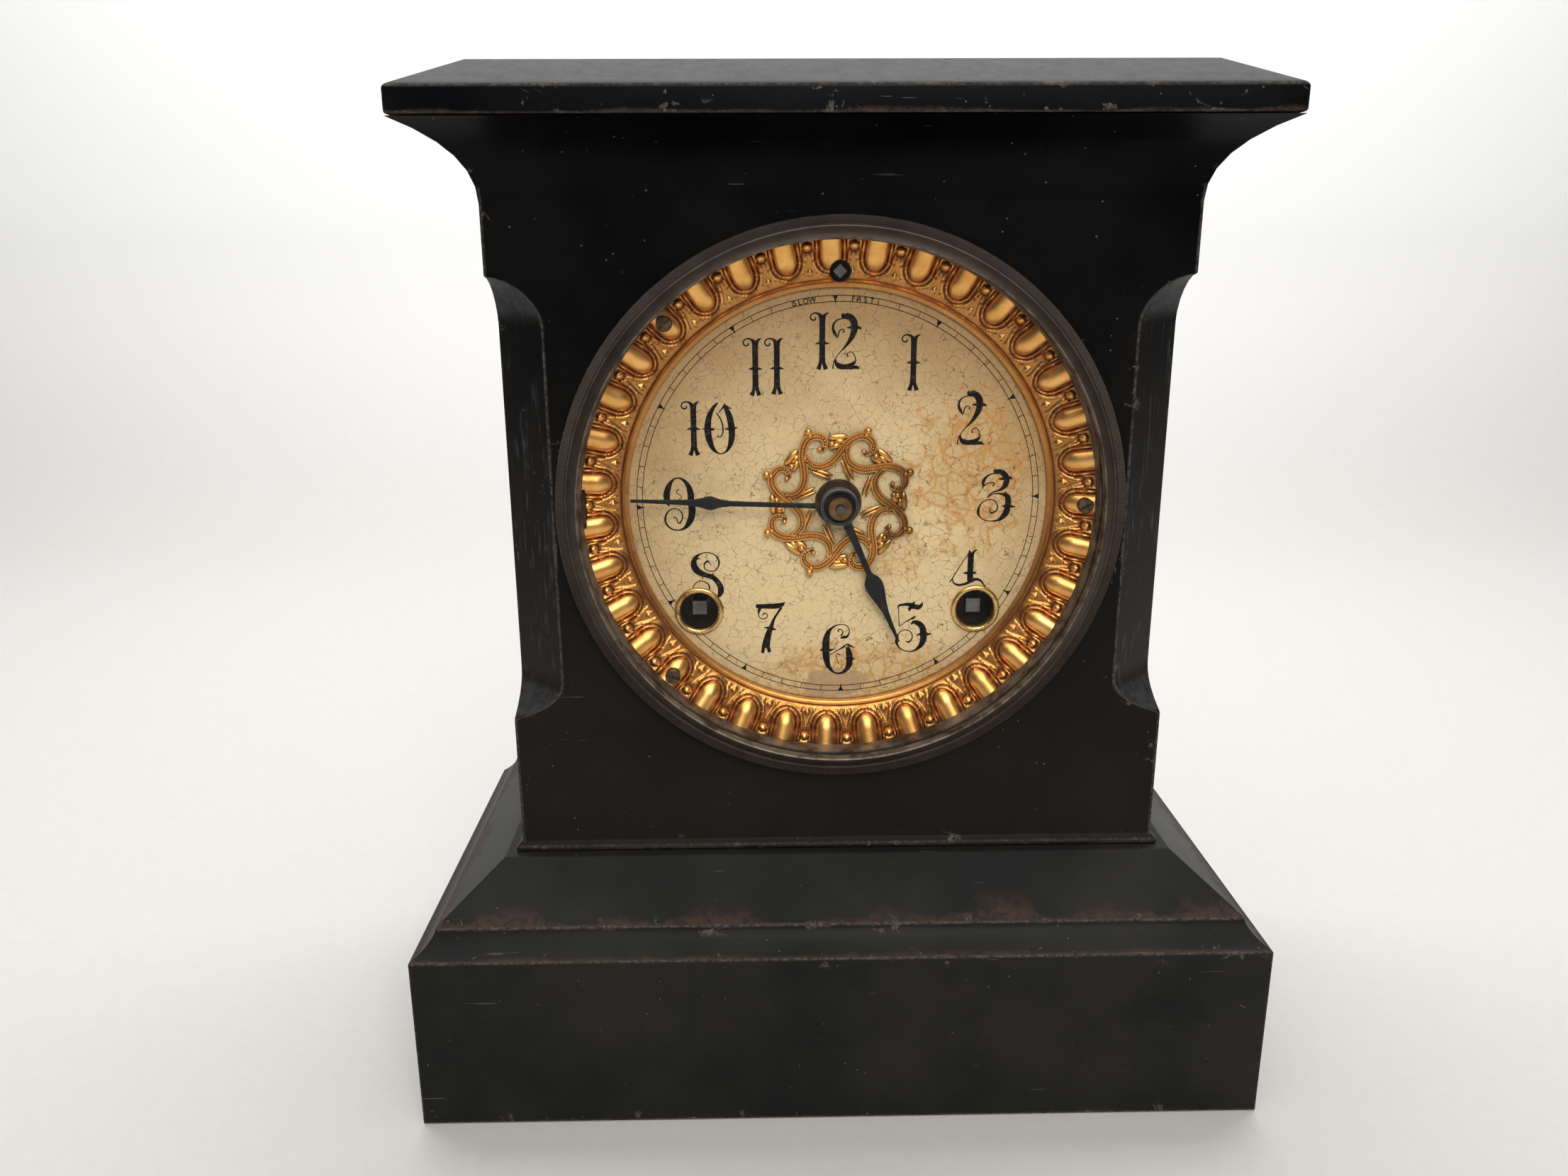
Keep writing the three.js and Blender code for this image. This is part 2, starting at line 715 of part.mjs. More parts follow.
function bezelHingeLeaf() {
  const half = hingeBarrelLength / 2;
  const bore = upright(hingePinRadius + clearance / 2, -half - 1, half + 1, -hingeX, -hingeForward);
  const barrel = upright(hingeBarrelRadius, -half, half, -hingeX, -hingeForward);
  const leaf = box(-hingeX - hingeLeafThickness / 2, -hingeX + hingeLeafThickness / 2,
    -hingeForward + hingePinRadius, hingeLeafDepth, -half, half);
  return cut(joined(barrel, leaf), bore);
}

// Dial: a stamped egg surround, the printed plate, an openwork rosette and two grommets
const dialScrewSpots = dialScrewEggs.map((egg) => {
  const bearing = ((eggPhase + (egg * 360) / eggCount) * Math.PI) / 180;
  return [dialScrewRadius * Math.sin(bearing), dialScrewRadius * Math.cos(bearing)];
});

function dialSurround() {
  const stepsPerEgg = 2;
  const steps = eggCount * stepsPerEgg;
  const shares = [0, 0.14, 0.52, 0.9, 1];
  const span = surroundOuterRadius - surroundInnerRadius;
  const rows = [];
  for (let k = 0; k < steps; k++) {
    const bearing = (eggPhase * Math.PI) / 180 + (2 * Math.PI * k) / steps;
    const crest = 0.5 + 0.5 * Math.cos((2 * Math.PI * k) / stepsPerEgg);
    const row = shares.map((share) => {
      const bump = eggHeight * crest * Math.max(0, Math.sin((Math.PI * (share - 0.1)) / 0.8));
      const front = dialDepth - clearance - surroundSheet - surroundDish * share - bump;
      return [surroundInnerRadius + share * span, front];
    });
    row.push([surroundOuterRadius, dialDepth - clearance], [surroundInnerRadius, dialDepth - clearance]);
    rows.push(row.map(([radius, y]) => [radius * Math.sin(bearing), y, radius * Math.cos(bearing)]));
  }
  const count = rows[0].length;
  const index = [];
  for (let k = 0; k < steps; k++) {
    for (let j = 0; j < count; j++) {
      const a = k * count + j;
      const b = k * count + ((j + 1) % count);
      const c = ((k + 1) % steps) * count + j;
      const d = ((k + 1) % steps) * count + ((j + 1) % count);
      index.push(a, b, c, b, d, c);
    }
  }
  const geometry = new THREE.BufferGeometry();
  geometry.setAttribute("position", new THREE.Float32BufferAttribute(rows.flat(2), 3));
  geometry.setIndex(index);
  const notch = box(-surroundOuterRadius - 1, -surroundOuterRadius + surroundNotchDepth, -far, far,
    -surroundNotchHeight / 2, surroundNotchHeight / 2);
  const regulatorHole = rod(regulatorHoleRadius, -far, far, 0, regulatorRadius, 12);
  const screwHoles = dialScrewSpots.map(([x, z]) => rod(dialScrewShank + boreClearance, -far, far, x, z));
  return cut(toSolid(geometry), notch, regulatorHole, ...screwHoles);
}

function dialScrew([x, z]) {
  const share = (dialScrewRadius - surroundInnerRadius) / (surroundOuterRadius - surroundInnerRadius);
  const seat = dialDepth - clearance - surroundSheet - surroundDish * share - eggHeight - clearance;
  const slot = box(x - dialScrewHead, x + dialScrewHead, seat - 2, seat - 0.8, z - 0.3, z + 0.3);
  const head = cut(rod(dialScrewHead, seat - 1.4, seat, x, z, 12), slot);
  return joined(head, rod(dialScrewShank, seat - 0.2, seatBack - clearance, x, z));
}

function dialPlate() {
  const rim = boreRadius - clearance;
  const grommetHole = grommetBore + 2 * clearance + grommetFlange;
  const holes = [
    ringPoints(hourTubeRadius + 3 * clearance, 16),
    ringPoints(regulatorHoleRadius, 12, 0, regulatorRadius),
    ringPoints(grommetHole, 16, windingX, windingZ),
    ringPoints(grommetHole, 16, -windingX, windingZ),
    ...dialScrewSpots.map(([x, z]) => ringPoints(dialScrewShank + boreClearance, smallFacets, x, z)),
  ];
  const slot = box(-bezelRadius, -hingeX + hingeLeafThickness / 2 + boreClearance, dialDepth - 1, dialBack + 1,
    -hingeBarrelLength / 2 - boreClearance, hingeBarrelLength / 2 + boreClearance);
  return cut(sheet(ringPoints(rim, roundFacets), dialDepth, dialBack, holes), slot);
}

function dialOrnament() {
  const steps = ornamentLobes * 6;
  const edge = Array.from({ length: steps }, (_, k) => {
    const angle = (2 * Math.PI * k) / steps;
    const radius = ornamentRadius - ornamentLobe * Math.cos(ornamentLobes * angle);
    return [radius * Math.cos(angle), radius * Math.sin(angle)];
  });
  const eyes = Array.from({ length: ornamentLobes }, (_, k) => {
    const angle = (2 * Math.PI * (k + 0.5)) / ornamentLobes;
    return ringPoints(ornamentEyeRadius, 6,
      ornamentEyeCircle * Math.cos(angle), ornamentEyeCircle * Math.sin(angle));
  });
  const back = dialDepth - clearance;
  return sheet(edge, back - ornamentThickness, back, [ringPoints(ornamentBore, 16), ...eyes]);
}

function grommet(x) {
  const front = dialDepth - clearance - grommetFlange;
  return turned([
    [grommetBore, front],
    [grommetRadius, front],
    [grommetRadius, dialDepth - clearance],
    [grommetBore + grommetFlange, dialDepth - clearance],
    [grommetBore + grommetFlange, dialBack + grommetFlange],
    [grommetBore, dialBack + grommetFlange],
  ], 16, x, windingZ);
}

// Hands: an outline given along the blade, turned clockwise from twelve
function blade(stations, bearing, y0, y1) {
  const left = stations.map(([along, half]) => [-half, along]);
  const right = stations.toReversed().map(([along, half]) => [half, along]);
  const turn = (bearing * Math.PI) / 180;
  const points = [...left, ...right].map(([x, z]) => [
    x * Math.cos(turn) + z * Math.sin(turn),
    -x * Math.sin(turn) + z * Math.cos(turn),
  ]);
  return sheet(points, y0, y1);
}

const hourHubY = dialDepth - hourHubFront;
const minuteHubY = dialDepth - minuteHubFront;
const hourBladeY = hourHubY + hourBladeSetback;
const minuteBladeY = minuteHubY + minuteBladeSetback;

function minuteHand() {
  const stations = [
    [minuteHubRadius - 0.8, 0.75],
    [minuteBulgeAt - 5, 0.7],
    [minuteBulgeAt, 1.95],
    [minuteBulgeAt + 4.5, 0.8],
    [minuteLength, 0.42],
  ];
  const hub = tube(minuteHubRadius, slimArbor + clearance, minuteHubY, minuteHubY + minuteHubLength, 0, 0, 16);
  return joined(hub, blade(stations, minuteAngle, minuteBladeY, minuteBladeY + handThickness));
}

function hourHand() {
  const stations = [
    [hourHubRadius - 1, 1.25],
    [hourBulgeAt - 3.8, 0.8],
    [hourBulgeAt - 2.3, 2.1],
    [hourBulgeAt, 2.6],
    [hourBulgeAt + 2.4, 2.2],
    [hourBulgeAt + 8.4, 0.85],
    [hourLength, 0.4],
  ];
  const hub = tube(hourHubRadius, hourTubeRadius + clearance, hourHubY, hourHubY + hourHubLength, 0, 0, 16);
  return joined(hub, blade(stations, hourAngle, hourBladeY, hourBladeY + handThickness));
}

function handWasher() {
  const back = minuteHubY - clearance;
  return tube(washerRadius, slimArbor + clearance, back - washerThickness, back, 0, 0, 16);
}

// Gear outlines: pointed teeth, with a tooth tip at the given angle
function toothed(teeth, module, tipAngle) {
  const pitch = (teeth * module) / 2;
  const points = [];
  for (let k = 0; k < teeth; k++) {
    const angle = tipAngle + (2 * Math.PI * k) / teeth;
    const gap = angle + Math.PI / teeth;
    points.push([(pitch + toothTip * module) * Math.cos(angle), (pitch + toothTip * module) * Math.sin(angle)]);
    points.push([(pitch - toothRoot * module) * Math.cos(gap), (pitch - toothRoot * module) * Math.sin(gap)]);
  }
  return points;
}

function gear([x, z], teeth, module, tipAngle, y0, y1, bore = 0) {
  const points = toothed(teeth, module, tipAngle).map(([a, b]) => [x + a, z + b]);
  const holes = bore > 0 ? [ringPoints(bore, boreFacets, x, z)] : [];
  return sheet(points, y0, y1, holes);
}

function bearingTo([x0, z0], [x1, z1]) {
  return Math.atan2(z1 - z0, x1 - x0);
}

// A wheel shows a tooth to its partner, and a pinion shows a gap
function wheelTo(here, there, teeth, module, y0, bore) {
  return gear(here, teeth, module, bearingTo(here, there), y0, y0 + wheelThickness, bore);
}

function pinionTo(here, there, teeth, module, wheelY, bore) {
  const start = wheelY - (pinionLength - wheelThickness) / 2;
  return gear(here, teeth, module, bearingTo(here, there) + Math.PI / teeth, start, start + pinionLength, bore);
}

function pitchSum(teethA, teethB, module) {
  return ((teethA + teethB) * module) / 2;
}

function stepFrom([x, z], distance, bearing) {
  const angle = (bearing * Math.PI) / 180;
  return [x + distance * Math.cos(angle), z + distance * Math.sin(angle)];
}

// The point at two given distances, on the left of the way from one spot to the other
function between([x0, z0], [x1, z1], distance0, distance1) {
  const apart = Math.hypot(x1 - x0, z1 - z0);
  const along = (apart ** 2 + distance0 ** 2 - distance1 ** 2) / (2 * apart);
  const aside = Math.sqrt(distance0 ** 2 - along ** 2);
  const [ux, uz] = [(x1 - x0) / apart, (z1 - z0) / apart];
  return [x0 + along * ux - aside * uz, z0 + along * uz + aside * ux];
}

// Arbor places in the movement
const greatPinionDistance = pitchSum(greatTeeth, trainPinionTeeth, greatModule);
const centreSpot = [0, 0];
const timeSpot = [windingX, windingZ];
const strikeSpot = [-windingX, windingZ];
const secondSpot = between(centreSpot, timeSpot,
  pitchSum(secondTeeth, trainPinionTeeth, secondModule), greatPinionDistance);
const escapeSpot = [0, escapeHeight];
const thirdSpot = between(centreSpot, escapeSpot,
  pitchSum(centreTeeth, finePinionTeeth, centreModule), pitchSum(thirdTeeth, finePinionTeeth, thirdModule));
const strikeSecondSpot = stepFrom(strikeSpot, greatPinionDistance, strikeSecondBearing);
const pinWheelSpot = stepFrom(strikeSecondSpot,
  pitchSum(secondTeeth, trainPinionTeeth, strikeSecondModule), pinWheelBearing);
const warningSpot = stepFrom(pinWheelSpot,
  pitchSum(pinWheelTeeth, trainPinionTeeth, pinWheelModule), warningBearing);
const flySpot = stepFrom(warningSpot, pitchSum(warningTeeth, trainPinionTeeth, warningModule), flyBearing);
const vergeSpot = [0, vergeHeight];
const regulatorSpot = [0, regulatorRadius];
const minuteWheelDistance = pitchSum(cannonTeeth, minuteWheelTeeth, cannonModule);
const minuteWheelSpot = [0, -minuteWheelDistance];
const hourModule = (2 * minuteWheelDistance) / (minutePinionTeeth + hourWheelTeeth);
const postSpots = [-1, 1].flatMap((side) => [[side * postSpot[0], postSpot[1]], [side * postSpot[0], -postSpot[1]]]);
const pillarSpots = [-1, 1].flatMap((side) => [
  [side * upperPillar[0], upperPillar[1]],
  [side * lowerPillar[0], lowerPillar[1]],
]);

// Planes between the plates, counted from the front plate's back or the back plate's front
const springFront = frontPlateBack + springGap;
const ratchetFront = springFront + springWidth + ratchetGap;
const greatFront = ratchetFront + greatStep;
const secondFront = greatFront + secondStep;
const centreFront = frontPlateBack + centreStep;
const thirdFront = centreFront + thirdStep;
const escapeFront = backPlateFront - escapeStep;
const pinWheelFront = centreFront + pinWheelStep;
const warningFront = pinWheelFront + warningStep;
const cannonFront = frontPlateDepth - cannonStep;
const hourWheelFront = seatBack + hourWheelStep;

function pivoted(spot, radius, pivot = pivotRadius) {
  const [x, z] = spot;
  const body = rod(radius, frontPlateBack + clearance, backPlateFront - clearance, x, z);
  return joined(body, rod(pivot, frontPlateDepth, backPlateBack, x, z));
}

const wheelSpots = [
  secondSpot, thirdSpot, escapeSpot, strikeSecondSpot, pinWheelSpot, warningSpot, flySpot,
];
const pivotHole = pivotRadius + boreClearance;
const windingHole = windingPivotRadius + 1.4 * boreClearance;

function plateHoles() {
  return [
    ...wheelSpots.map(([x, z]) => ringPoints(pivotHole, smallFacets, x, z)),
    ...[timeSpot, strikeSpot].map(([x, z]) => ringPoints(windingHole, smallFacets, x, z)),
    ringPoints(slimArbor + boreClearance, smallFacets),
    ringPoints(slimArbor + boreClearance, smallFacets, ...vergeSpot),
    ringPoints(slimArbor + boreClearance, smallFacets, ...hammerSpot),
    ringPoints(regulatorArborRadius + boreClearance, smallFacets, ...regulatorSpot),
  ];
}

const plateCorners = [
  [-plateHalfWidth, plateBottom],
  [plateHalfWidth, plateBottom],
  [plateHalfWidth, plateTop],
  [-plateHalfWidth, plateTop],
];

function frontPlate() {
  const pillarHoles = pillarSpots.map(([x, z]) => ringPoints(pillarEndRadius + boreClearance, smallFacets, x, z));
  const screwHoles = postSpots.map(([x, z]) => ringPoints(screwRadius + boreClearance, smallFacets, x, z));
  const plate = sheet(plateCorners, frontPlateDepth, frontPlateBack,
    [...plateHoles(), ...pillarHoles, ...screwHoles]);
  const nuts = pillarSpots.map(([x, z]) => sheet(ringPoints(nutRadius, 6, x, z),
    frontPlateDepth - nutThickness, frontPlateDepth + 0.2,
    [ringPoints(pillarEndRadius + boreClearance, smallFacets, x, z)]));
  const stud = rod(slimArbor, hourWheelFront - 0.6, frontPlateDepth + 0.2, ...minuteWheelSpot);
  return joined(plate, ...nuts, stud);
}

function backPlate() {
  const plate = sheet(plateCorners, backPlateFront, backPlateBack, plateHoles());
  const pillars = pillarSpots.map(([x, z]) => joined(
    rod(pillarRadius, frontPlateBack + clearance, backPlateFront + 0.2, x, z),
    rod(pillarEndRadius, frontPlateDepth - nutThickness + 0.4, frontPlateBack + 1, x, z)));
  return joined(plate, ...pillars);
}

function movementScrew([x, z]) {
  const seat = frontPlateBack + clearance;
  return joined(rod(screwRadius, frontWall + 3, seat + 0.2, x, z),
    rod(screwHeadRadius, seat, seat + screwHeadHeight, x, z, 12));
}

// Winding: the square arbor carries the ratchet, and the great wheel turns on it
function windingArbor([x, z]) {
  const half = windingSquare / 2;
  const front = dialBack + windingSetback;
  const square = box(x - half, x + half, front, frontPlateDepth - clearance, z - half, z + half);
  const ratchet = Array.from({ length: 2 * ratchetTeeth }, (_, k) => {
    const angle = (2 * Math.PI * Math.floor((k + 1) / 2)) / ratchetTeeth + (k % 2 ? 0.03 : 0);
    const radius = k % 2 ? ratchetRadius - ratchetDepth : ratchetRadius;
    return [x + radius * Math.cos(angle), z + radius * Math.sin(angle)];
  });
  return joined(
    square,
    rod(windingPivotRadius, frontPlateDepth - 1, backPlateBack, x, z),
    rod(windingArborRadius, frontPlateBack + clearance, backPlateFront - clearance, x, z, boreFacets),
    sheet(ratchet, ratchetFront, ratchetFront + wheelThickness));
}

function greatWheel(spot, partner) {
  const bore = windingArborRadius + boreClearance;
  const wheel = wheelTo(spot, partner, greatTeeth, greatModule, greatFront, bore);
  const hub = tube(bore + 3, bore, greatFront, greatFront + 3, ...spot, boreFacets);
  return joined(wheel, hub);
}

function click(spot, bearing) {
  const pivot = stepFrom(spot, clickPivotAt, bearing);
  const lever = sheet([
    stepFrom(spot, clickPivotAt - clickHalfWidth, bearing),
    stepFrom(spot, clickPivotAt + clickHalfWidth, bearing),
    stepFrom(spot, ratchetRadius + 2 * clearance + clickHalfWidth, bearing - clickSpan),
    stepFrom(spot, ratchetRadius + 2 * clearance, bearing - clickSpan),
  ], ratchetFront, ratchetFront + wheelThickness);
  const stud = rod(clickHalfWidth + 0.6, ratchetFront, greatFront - clearance, ...pivot);
  return joined(stud, lever);
}

function mainspring([x, z], pillar) {
  const steps = springTurns * springFacets;
  const end = bearingTo([x, z], pillar);
  const tail = Math.hypot(pillar[0] - x, pillar[1] - z) - pillarRadius - clearance;
  const spiral = (offset) => Array.from({ length: steps + 1 }, (_, k) => {
    const angle = end - (2 * Math.PI * (steps - k)) / springFacets;
    const radius = springInnerRadius + ((springOuterRadius - springInnerRadius) * k) / steps + offset;
    return [x + radius * Math.cos(angle), z + radius * Math.sin(angle)];
  });
  const outer = spiral(springThickness / 2);
  const inner = spiral(-springThickness / 2);
  const neck = end - (2 * springThickness) / springOuterRadius;
  outer[steps] = [x + springOuterRadius * Math.cos(neck), z + springOuterRadius * Math.sin(neck)];
  const aside = springThickness / tail;
  const tip = [-aside, aside].map((turn) => [x + tail * Math.cos(end + turn), z + tail * Math.sin(end + turn)]);
  return sheet([...outer, tip[0], tip[1], ...inner.toReversed()],
    springFront, springFront + springWidth);
}

// Going train
function secondWheel(spot, great, next, module) {
  return joined(pivoted(spot, arborRadius),
    pinionTo(spot, great, trainPinionTeeth, greatModule, greatFront),
    wheelTo(spot, next, secondTeeth, module, secondFront));
}

function centreWheel() {
  const bore = slimArbor + clearance;
  const sleeve = tube(bore + 1.3, bore, centreFront - 1, secondFront + pinionLength - 1, 0, 0, boreFacets);
  const pinion = pinionTo(centreSpot, secondSpot, trainPinionTeeth, secondModule, secondFront, bore);
  return joined(sleeve, pinion, wheelTo(centreSpot, thirdSpot, centreTeeth, centreModule, centreFront, bore));
}

function thirdWheel() {
  return joined(pivoted(thirdSpot, arborRadius),
    pinionTo(thirdSpot, centreSpot, finePinionTeeth, centreModule, centreFront),
    wheelTo(thirdSpot, escapeSpot, thirdTeeth, thirdModule, thirdFront));
}

function escapeWheel() {
  const teeth = Array.from({ length: 2 * escapeTeeth }, (_, k) => {
    const angle = (Math.PI * k) / escapeTeeth;
    const radius = k % 2 ? escapeRadius - 1.6 : escapeRadius;
    return [escapeSpot[0] + radius * Math.cos(angle), escapeSpot[1] + radius * Math.sin(angle)];
  });
  return joined(pivoted(escapeSpot, arborRadius),
    pinionTo(escapeSpot, thirdSpot, finePinionTeeth, thirdModule, thirdFront),
    sheet(teeth, escapeFront, escapeFront + wheelThickness));
}

// Motion work: cannon pinion on the centre arbor, minute wheel on its stud, hour wheel with its tube
function centreArbor() {
  return joined(
    rod(slimArbor, minuteHubY - clearance - washerThickness - arborTip, backPlateBack),
    rod(cannonRadius, minuteHubY + minuteHubLength + clearance, frontPlateDepth - clearance),
    gear(centreSpot, cannonTeeth, cannonModule, bearingTo(centreSpot, minuteWheelSpot),
      cannonFront, cannonFront + wheelThickness));
}

function minuteWheel() {
  const bore = slimArbor + clearance;
  const start = hourWheelFront - 0.4;
  const tip = bearingTo(minuteWheelSpot, centreSpot);
  return joined(
    gear(minuteWheelSpot, minuteWheelTeeth, cannonModule, tip + Math.PI / minuteWheelTeeth,
      cannonFront, cannonFront + wheelThickness, bore),
    gear(minuteWheelSpot, minutePinionTeeth, hourModule, tip, start, cannonFront + 0.2, bore));
}

function hourWheel() {
  const tip = bearingTo(centreSpot, minuteWheelSpot) + Math.PI / hourWheelTeeth;
  const wheel = gear(centreSpot, hourWheelTeeth, hourModule, tip,
    hourWheelFront, hourWheelFront + wheelThickness, hourTubeBore);
  return joined(wheel, tube(hourTubeRadius, hourTubeBore, hourHubY + 1.7, cannonFront - clearance, 0, 0, boreFacets));
}

// Strike train
function pinWheel() {
  const pins = Array.from({ length: strikePins }, (_, k) => {
    const [x, z] = stepFrom(pinWheelSpot, strikePinCircle, (360 * k) / strikePins);
    return rod(strikePinRadius, pinWheelFront + 0.5, pinWheelFront + 4, x, z, 4);
  });
  return joined(pivoted(pinWheelSpot, arborRadius),
    pinionTo(pinWheelSpot, strikeSecondSpot, trainPinionTeeth, strikeSecondModule, secondFront),
    wheelTo(pinWheelSpot, warningSpot, pinWheelTeeth, pinWheelModule, pinWheelFront), ...pins);
}

function warningWheel() {
  return joined(pivoted(warningSpot, arborRadius),
    pinionTo(warningSpot, pinWheelSpot, trainPinionTeeth, pinWheelModule, pinWheelFront),
    wheelTo(warningSpot, flySpot, warningTeeth, warningModule, warningFront));
}

function fly() {
  const [x, z] = flySpot;
  const front = frontPlateBack + 3;
  const vane = box(x - flyHalfWidth, x + flyHalfWidth, front, front + flyLength, z - 0.3, z + 0.3);
  return joined(pivoted(flySpot, arborRadius), vane,
    pinionTo(flySpot, warningSpot, trainPinionTeeth, warningModule, warningFront));
}

// Pendulum: the verge with its crutch, the rod and the bob swing about the suspension point
const pendulumY = backPlateBack + pendulumBehind;
const bobZ = vergeHeight - pendulumLength;

function verge() {
  const [x, z] = vergeSpot;
  const reach = escapeRadius + 1.4;
  const tipX = reach * Math.sin((35 * Math.PI) / 180);
  const tipZ = escapeHeight + reach * Math.cos((35 * Math.PI) / 180);
  const anchor = sheet([
    [x - tipX, tipZ], [x - tipX + 2.2, tipZ + 2.4], [x - 1.5, z - 1.2], [x + 1.5, z - 1.2],
    [x + tipX - 2.2, tipZ + 2.4], [x + tipX, tipZ], [x + tipX + 0.8, tipZ + 1],
    [x + 2, z + 1.6], [x - 2, z + 1.6], [x - tipX - 0.8, tipZ + 1],
  ], escapeFront, escapeFront + wheelThickness);
  const crutchY = backPlateBack + 3;
  const arbor = rod(slimArbor, frontPlateDepth, crutchY + 1.5, x, z);
  const crutch = box(x - 0.8, x + 0.8, crutchY - 0.8, crutchY + 0.8, z - crutchLength, z);
  const forkGap = pendulumRodRadius + clearance;
  const prongs = [-1, 1].map((side) => {
    const inner = side * forkGap;
    const outer = side * (forkGap + 1.2);
    return box(x + Math.min(inner, outer), x + Math.max(inner, outer), crutchY - 0.8,
      pendulumY + pendulumRodRadius, z - crutchLength - 1.2, z - crutchLength + 1.2);
  });
  const bridge = box(x - forkGap - 1.2, x + forkGap + 1.2, crutchY - 0.8, crutchY + 0.8,
    z - crutchLength - 1.2, z - crutchLength + 1.2);
  return joined(anchor, arbor, crutch, bridge, ...prongs);
}

function pendulumRod() {
  const top = vergeHeight - clearance;
  const shaft = upright(pendulumRodRadius, bobZ + bobRadius + clearance, top, 0, pendulumY);
  const eye = box(-eyeHalf, eyeHalf, pendulumY - eyeHalf, pendulumY + eyeHalf, top - eyeHeight, top);
  return joined(shaft, eye);
}

function pendulumBob() {
  const half = bobThickness / 2;
  return turned([
    [0, pendulumY - half], [bobRadius * 0.7, pendulumY - half * 0.8], [bobRadius, pendulumY],
    [bobRadius * 0.7, pendulumY + half * 0.8], [0, pendulumY + half],
  ], 24, 0, bobZ);
}

function suspensionCock() {
  const armBack = pendulumY + springStripWidth / 2 + cockLip;
  const seat = backPlateBack + clearance;
  const arm = box(-cockLeft, cockRight, seat, armBack, cockHeight, cockHeight + cockHeightOfArm);
  const foot = box(-cockLeft, cockRight, seat, seat + cockFootThickness, plateTop - cockFootDrop, cockHeight + 1);
  const strip = box(-springStripThickness / 2, springStripThickness / 2, pendulumY - springStripWidth / 2,
    pendulumY + springStripWidth / 2, vergeHeight + clearance, cockHeight + 0.5);
  return joined(arm, foot, strip);
}

// Regulator: a square in the dial turns a pinion that lifts the block on the suspension strip
const rackPitch = (regulatorPinionTeeth * regulatorModule) / 2;
const rackFront = backPlateBack + rackStandoff;
const rackBack = pendulumY - springStripWidth / 2 - 2 * clearance;

function regulatorArbor() {
  const half = regulatorSquare / 2;
  const front = dialDepth - regulatorTip;
  const [x, z] = regulatorSpot;
  const square = box(x - half, x + half, front, seatBack + 1, z - half, z + half);
  const turn = new THREE.Matrix4().makeTranslation(x, 0, z)
    .multiply(new THREE.Matrix4().makeRotationY(Math.PI / 4))
    .multiply(new THREE.Matrix4().makeTranslation(-x, 0, -z));
  return joined(square.transform(turn.elements),
    rod(regulatorArborRadius, seatBack, rackBack, x, z),
    gear(regulatorSpot, regulatorPinionTeeth, regulatorModule, 0, rackFront, rackBack));
}

function regulatorBlock() {
  const pitch = Math.PI * regulatorModule;
  const face = rackPitch - toothTip * regulatorModule;
  const root = rackPitch + toothRoot * regulatorModule;
  const back = root + rackBacking;
  const above = Math.round(rackLength / pitch / 2);
  const below = Math.floor((regulatorRadius - vergeHeight - suspensionFree) / pitch);
  const low = regulatorRadius - below * pitch;
  const high = regulatorRadius + above * pitch;
  const edge = [];
  for (let k = -below; k < above; k++) {
    edge.push([root, regulatorRadius + k * pitch], [face, regulatorRadius + (k + 0.5) * pitch]);
  }
  edge.push([root, high]);
  const rack = sheet([[back, low], ...edge, [back, high]], rackFront, rackBack);
  const bridge = box(root, back, rackBack - 0.5, pendulumY + springStripWidth / 2, low, low + blockHeight);
  const gap = springStripThickness / 2 + clearance;
  const yFront = rackBack + clearance;
  const yBack = pendulumY + springStripWidth / 2 + clearance;
  const right = box(gap, back, yFront, yBack, low, low + blockHeight);
  const left = box(-gap - blockCheek, -gap, yFront, yBack, low, low + blockHeight);
  const tie = box(-gap - blockCheek, back, yBack - 0.1, yBack + blockTie, low, low + blockHeight);
  return joined(rack, bridge, right, left, tie);
}

// Strike: the hammer on its arbor, and the coiled gong on its post
const gongY = backPlateBack + gongBehind;
const gongSpot = [0, gongDrop];

function gongRadiusAt(turns) {
  return gongInnerRadius + gongPitch * turns;
}

function gongCoil() {
  const steps = Math.round(gongTurns * gongFacets);
  const sides = 5;
  const positions = [];
  for (let k = 0; k <= steps; k++) {
    const turns = (gongTurns * k) / steps;
    const angle = 2 * Math.PI * turns;
    for (let side = 0; side < sides; side++) {
      const around = (2 * Math.PI * side) / sides;
      const radius = gongRadiusAt(turns) + gongWireRadius * Math.cos(around);
      positions.push(
        gongSpot[0] + radius * Math.cos(angle),
        gongY + gongWireRadius * Math.sin(around),
        gongSpot[1] + radius * Math.sin(angle));
    }
  }
  const index = [];
  for (let k = 0; k < steps; k++) {
    for (let side = 0; side < sides; side++) {
      const a = k * sides + side;
      const b = k * sides + ((side + 1) % sides);
      index.push(a, b, a + sides, b, b + sides, a + sides);
    }
  }
  const last = steps * sides;
  for (let side = 1; side < sides - 1; side++) {
    index.push(0, side + 1, side, last, last + side, last + side + 1);
  }
  const geometry = new THREE.BufferGeometry();
  geometry.setAttribute("position", new THREE.Float32BufferAttribute(positions, 3));
  geometry.setIndex(index);
  return toSolid(geometry);
}

function gongBase() {
  const bottom = baseHeight + clearance - dialHeight;
  const back = gongY + gongHeadHalf;
  const head = rod(gongPostRadius, gongY - gongHeadHalf, back, ...gongSpot, 12);
  const post = box(-gongPostHalfWidth, gongPostHalfWidth, gongY + gongWireRadius + 1, back, bottom, gongDrop);
  const foot = box(-gongFootHalfWidth, gongFootHalfWidth, gongY - gongFootFront, back,
    bottom, bottom + gongFootThickness);
  return joined(head, post, foot);
}

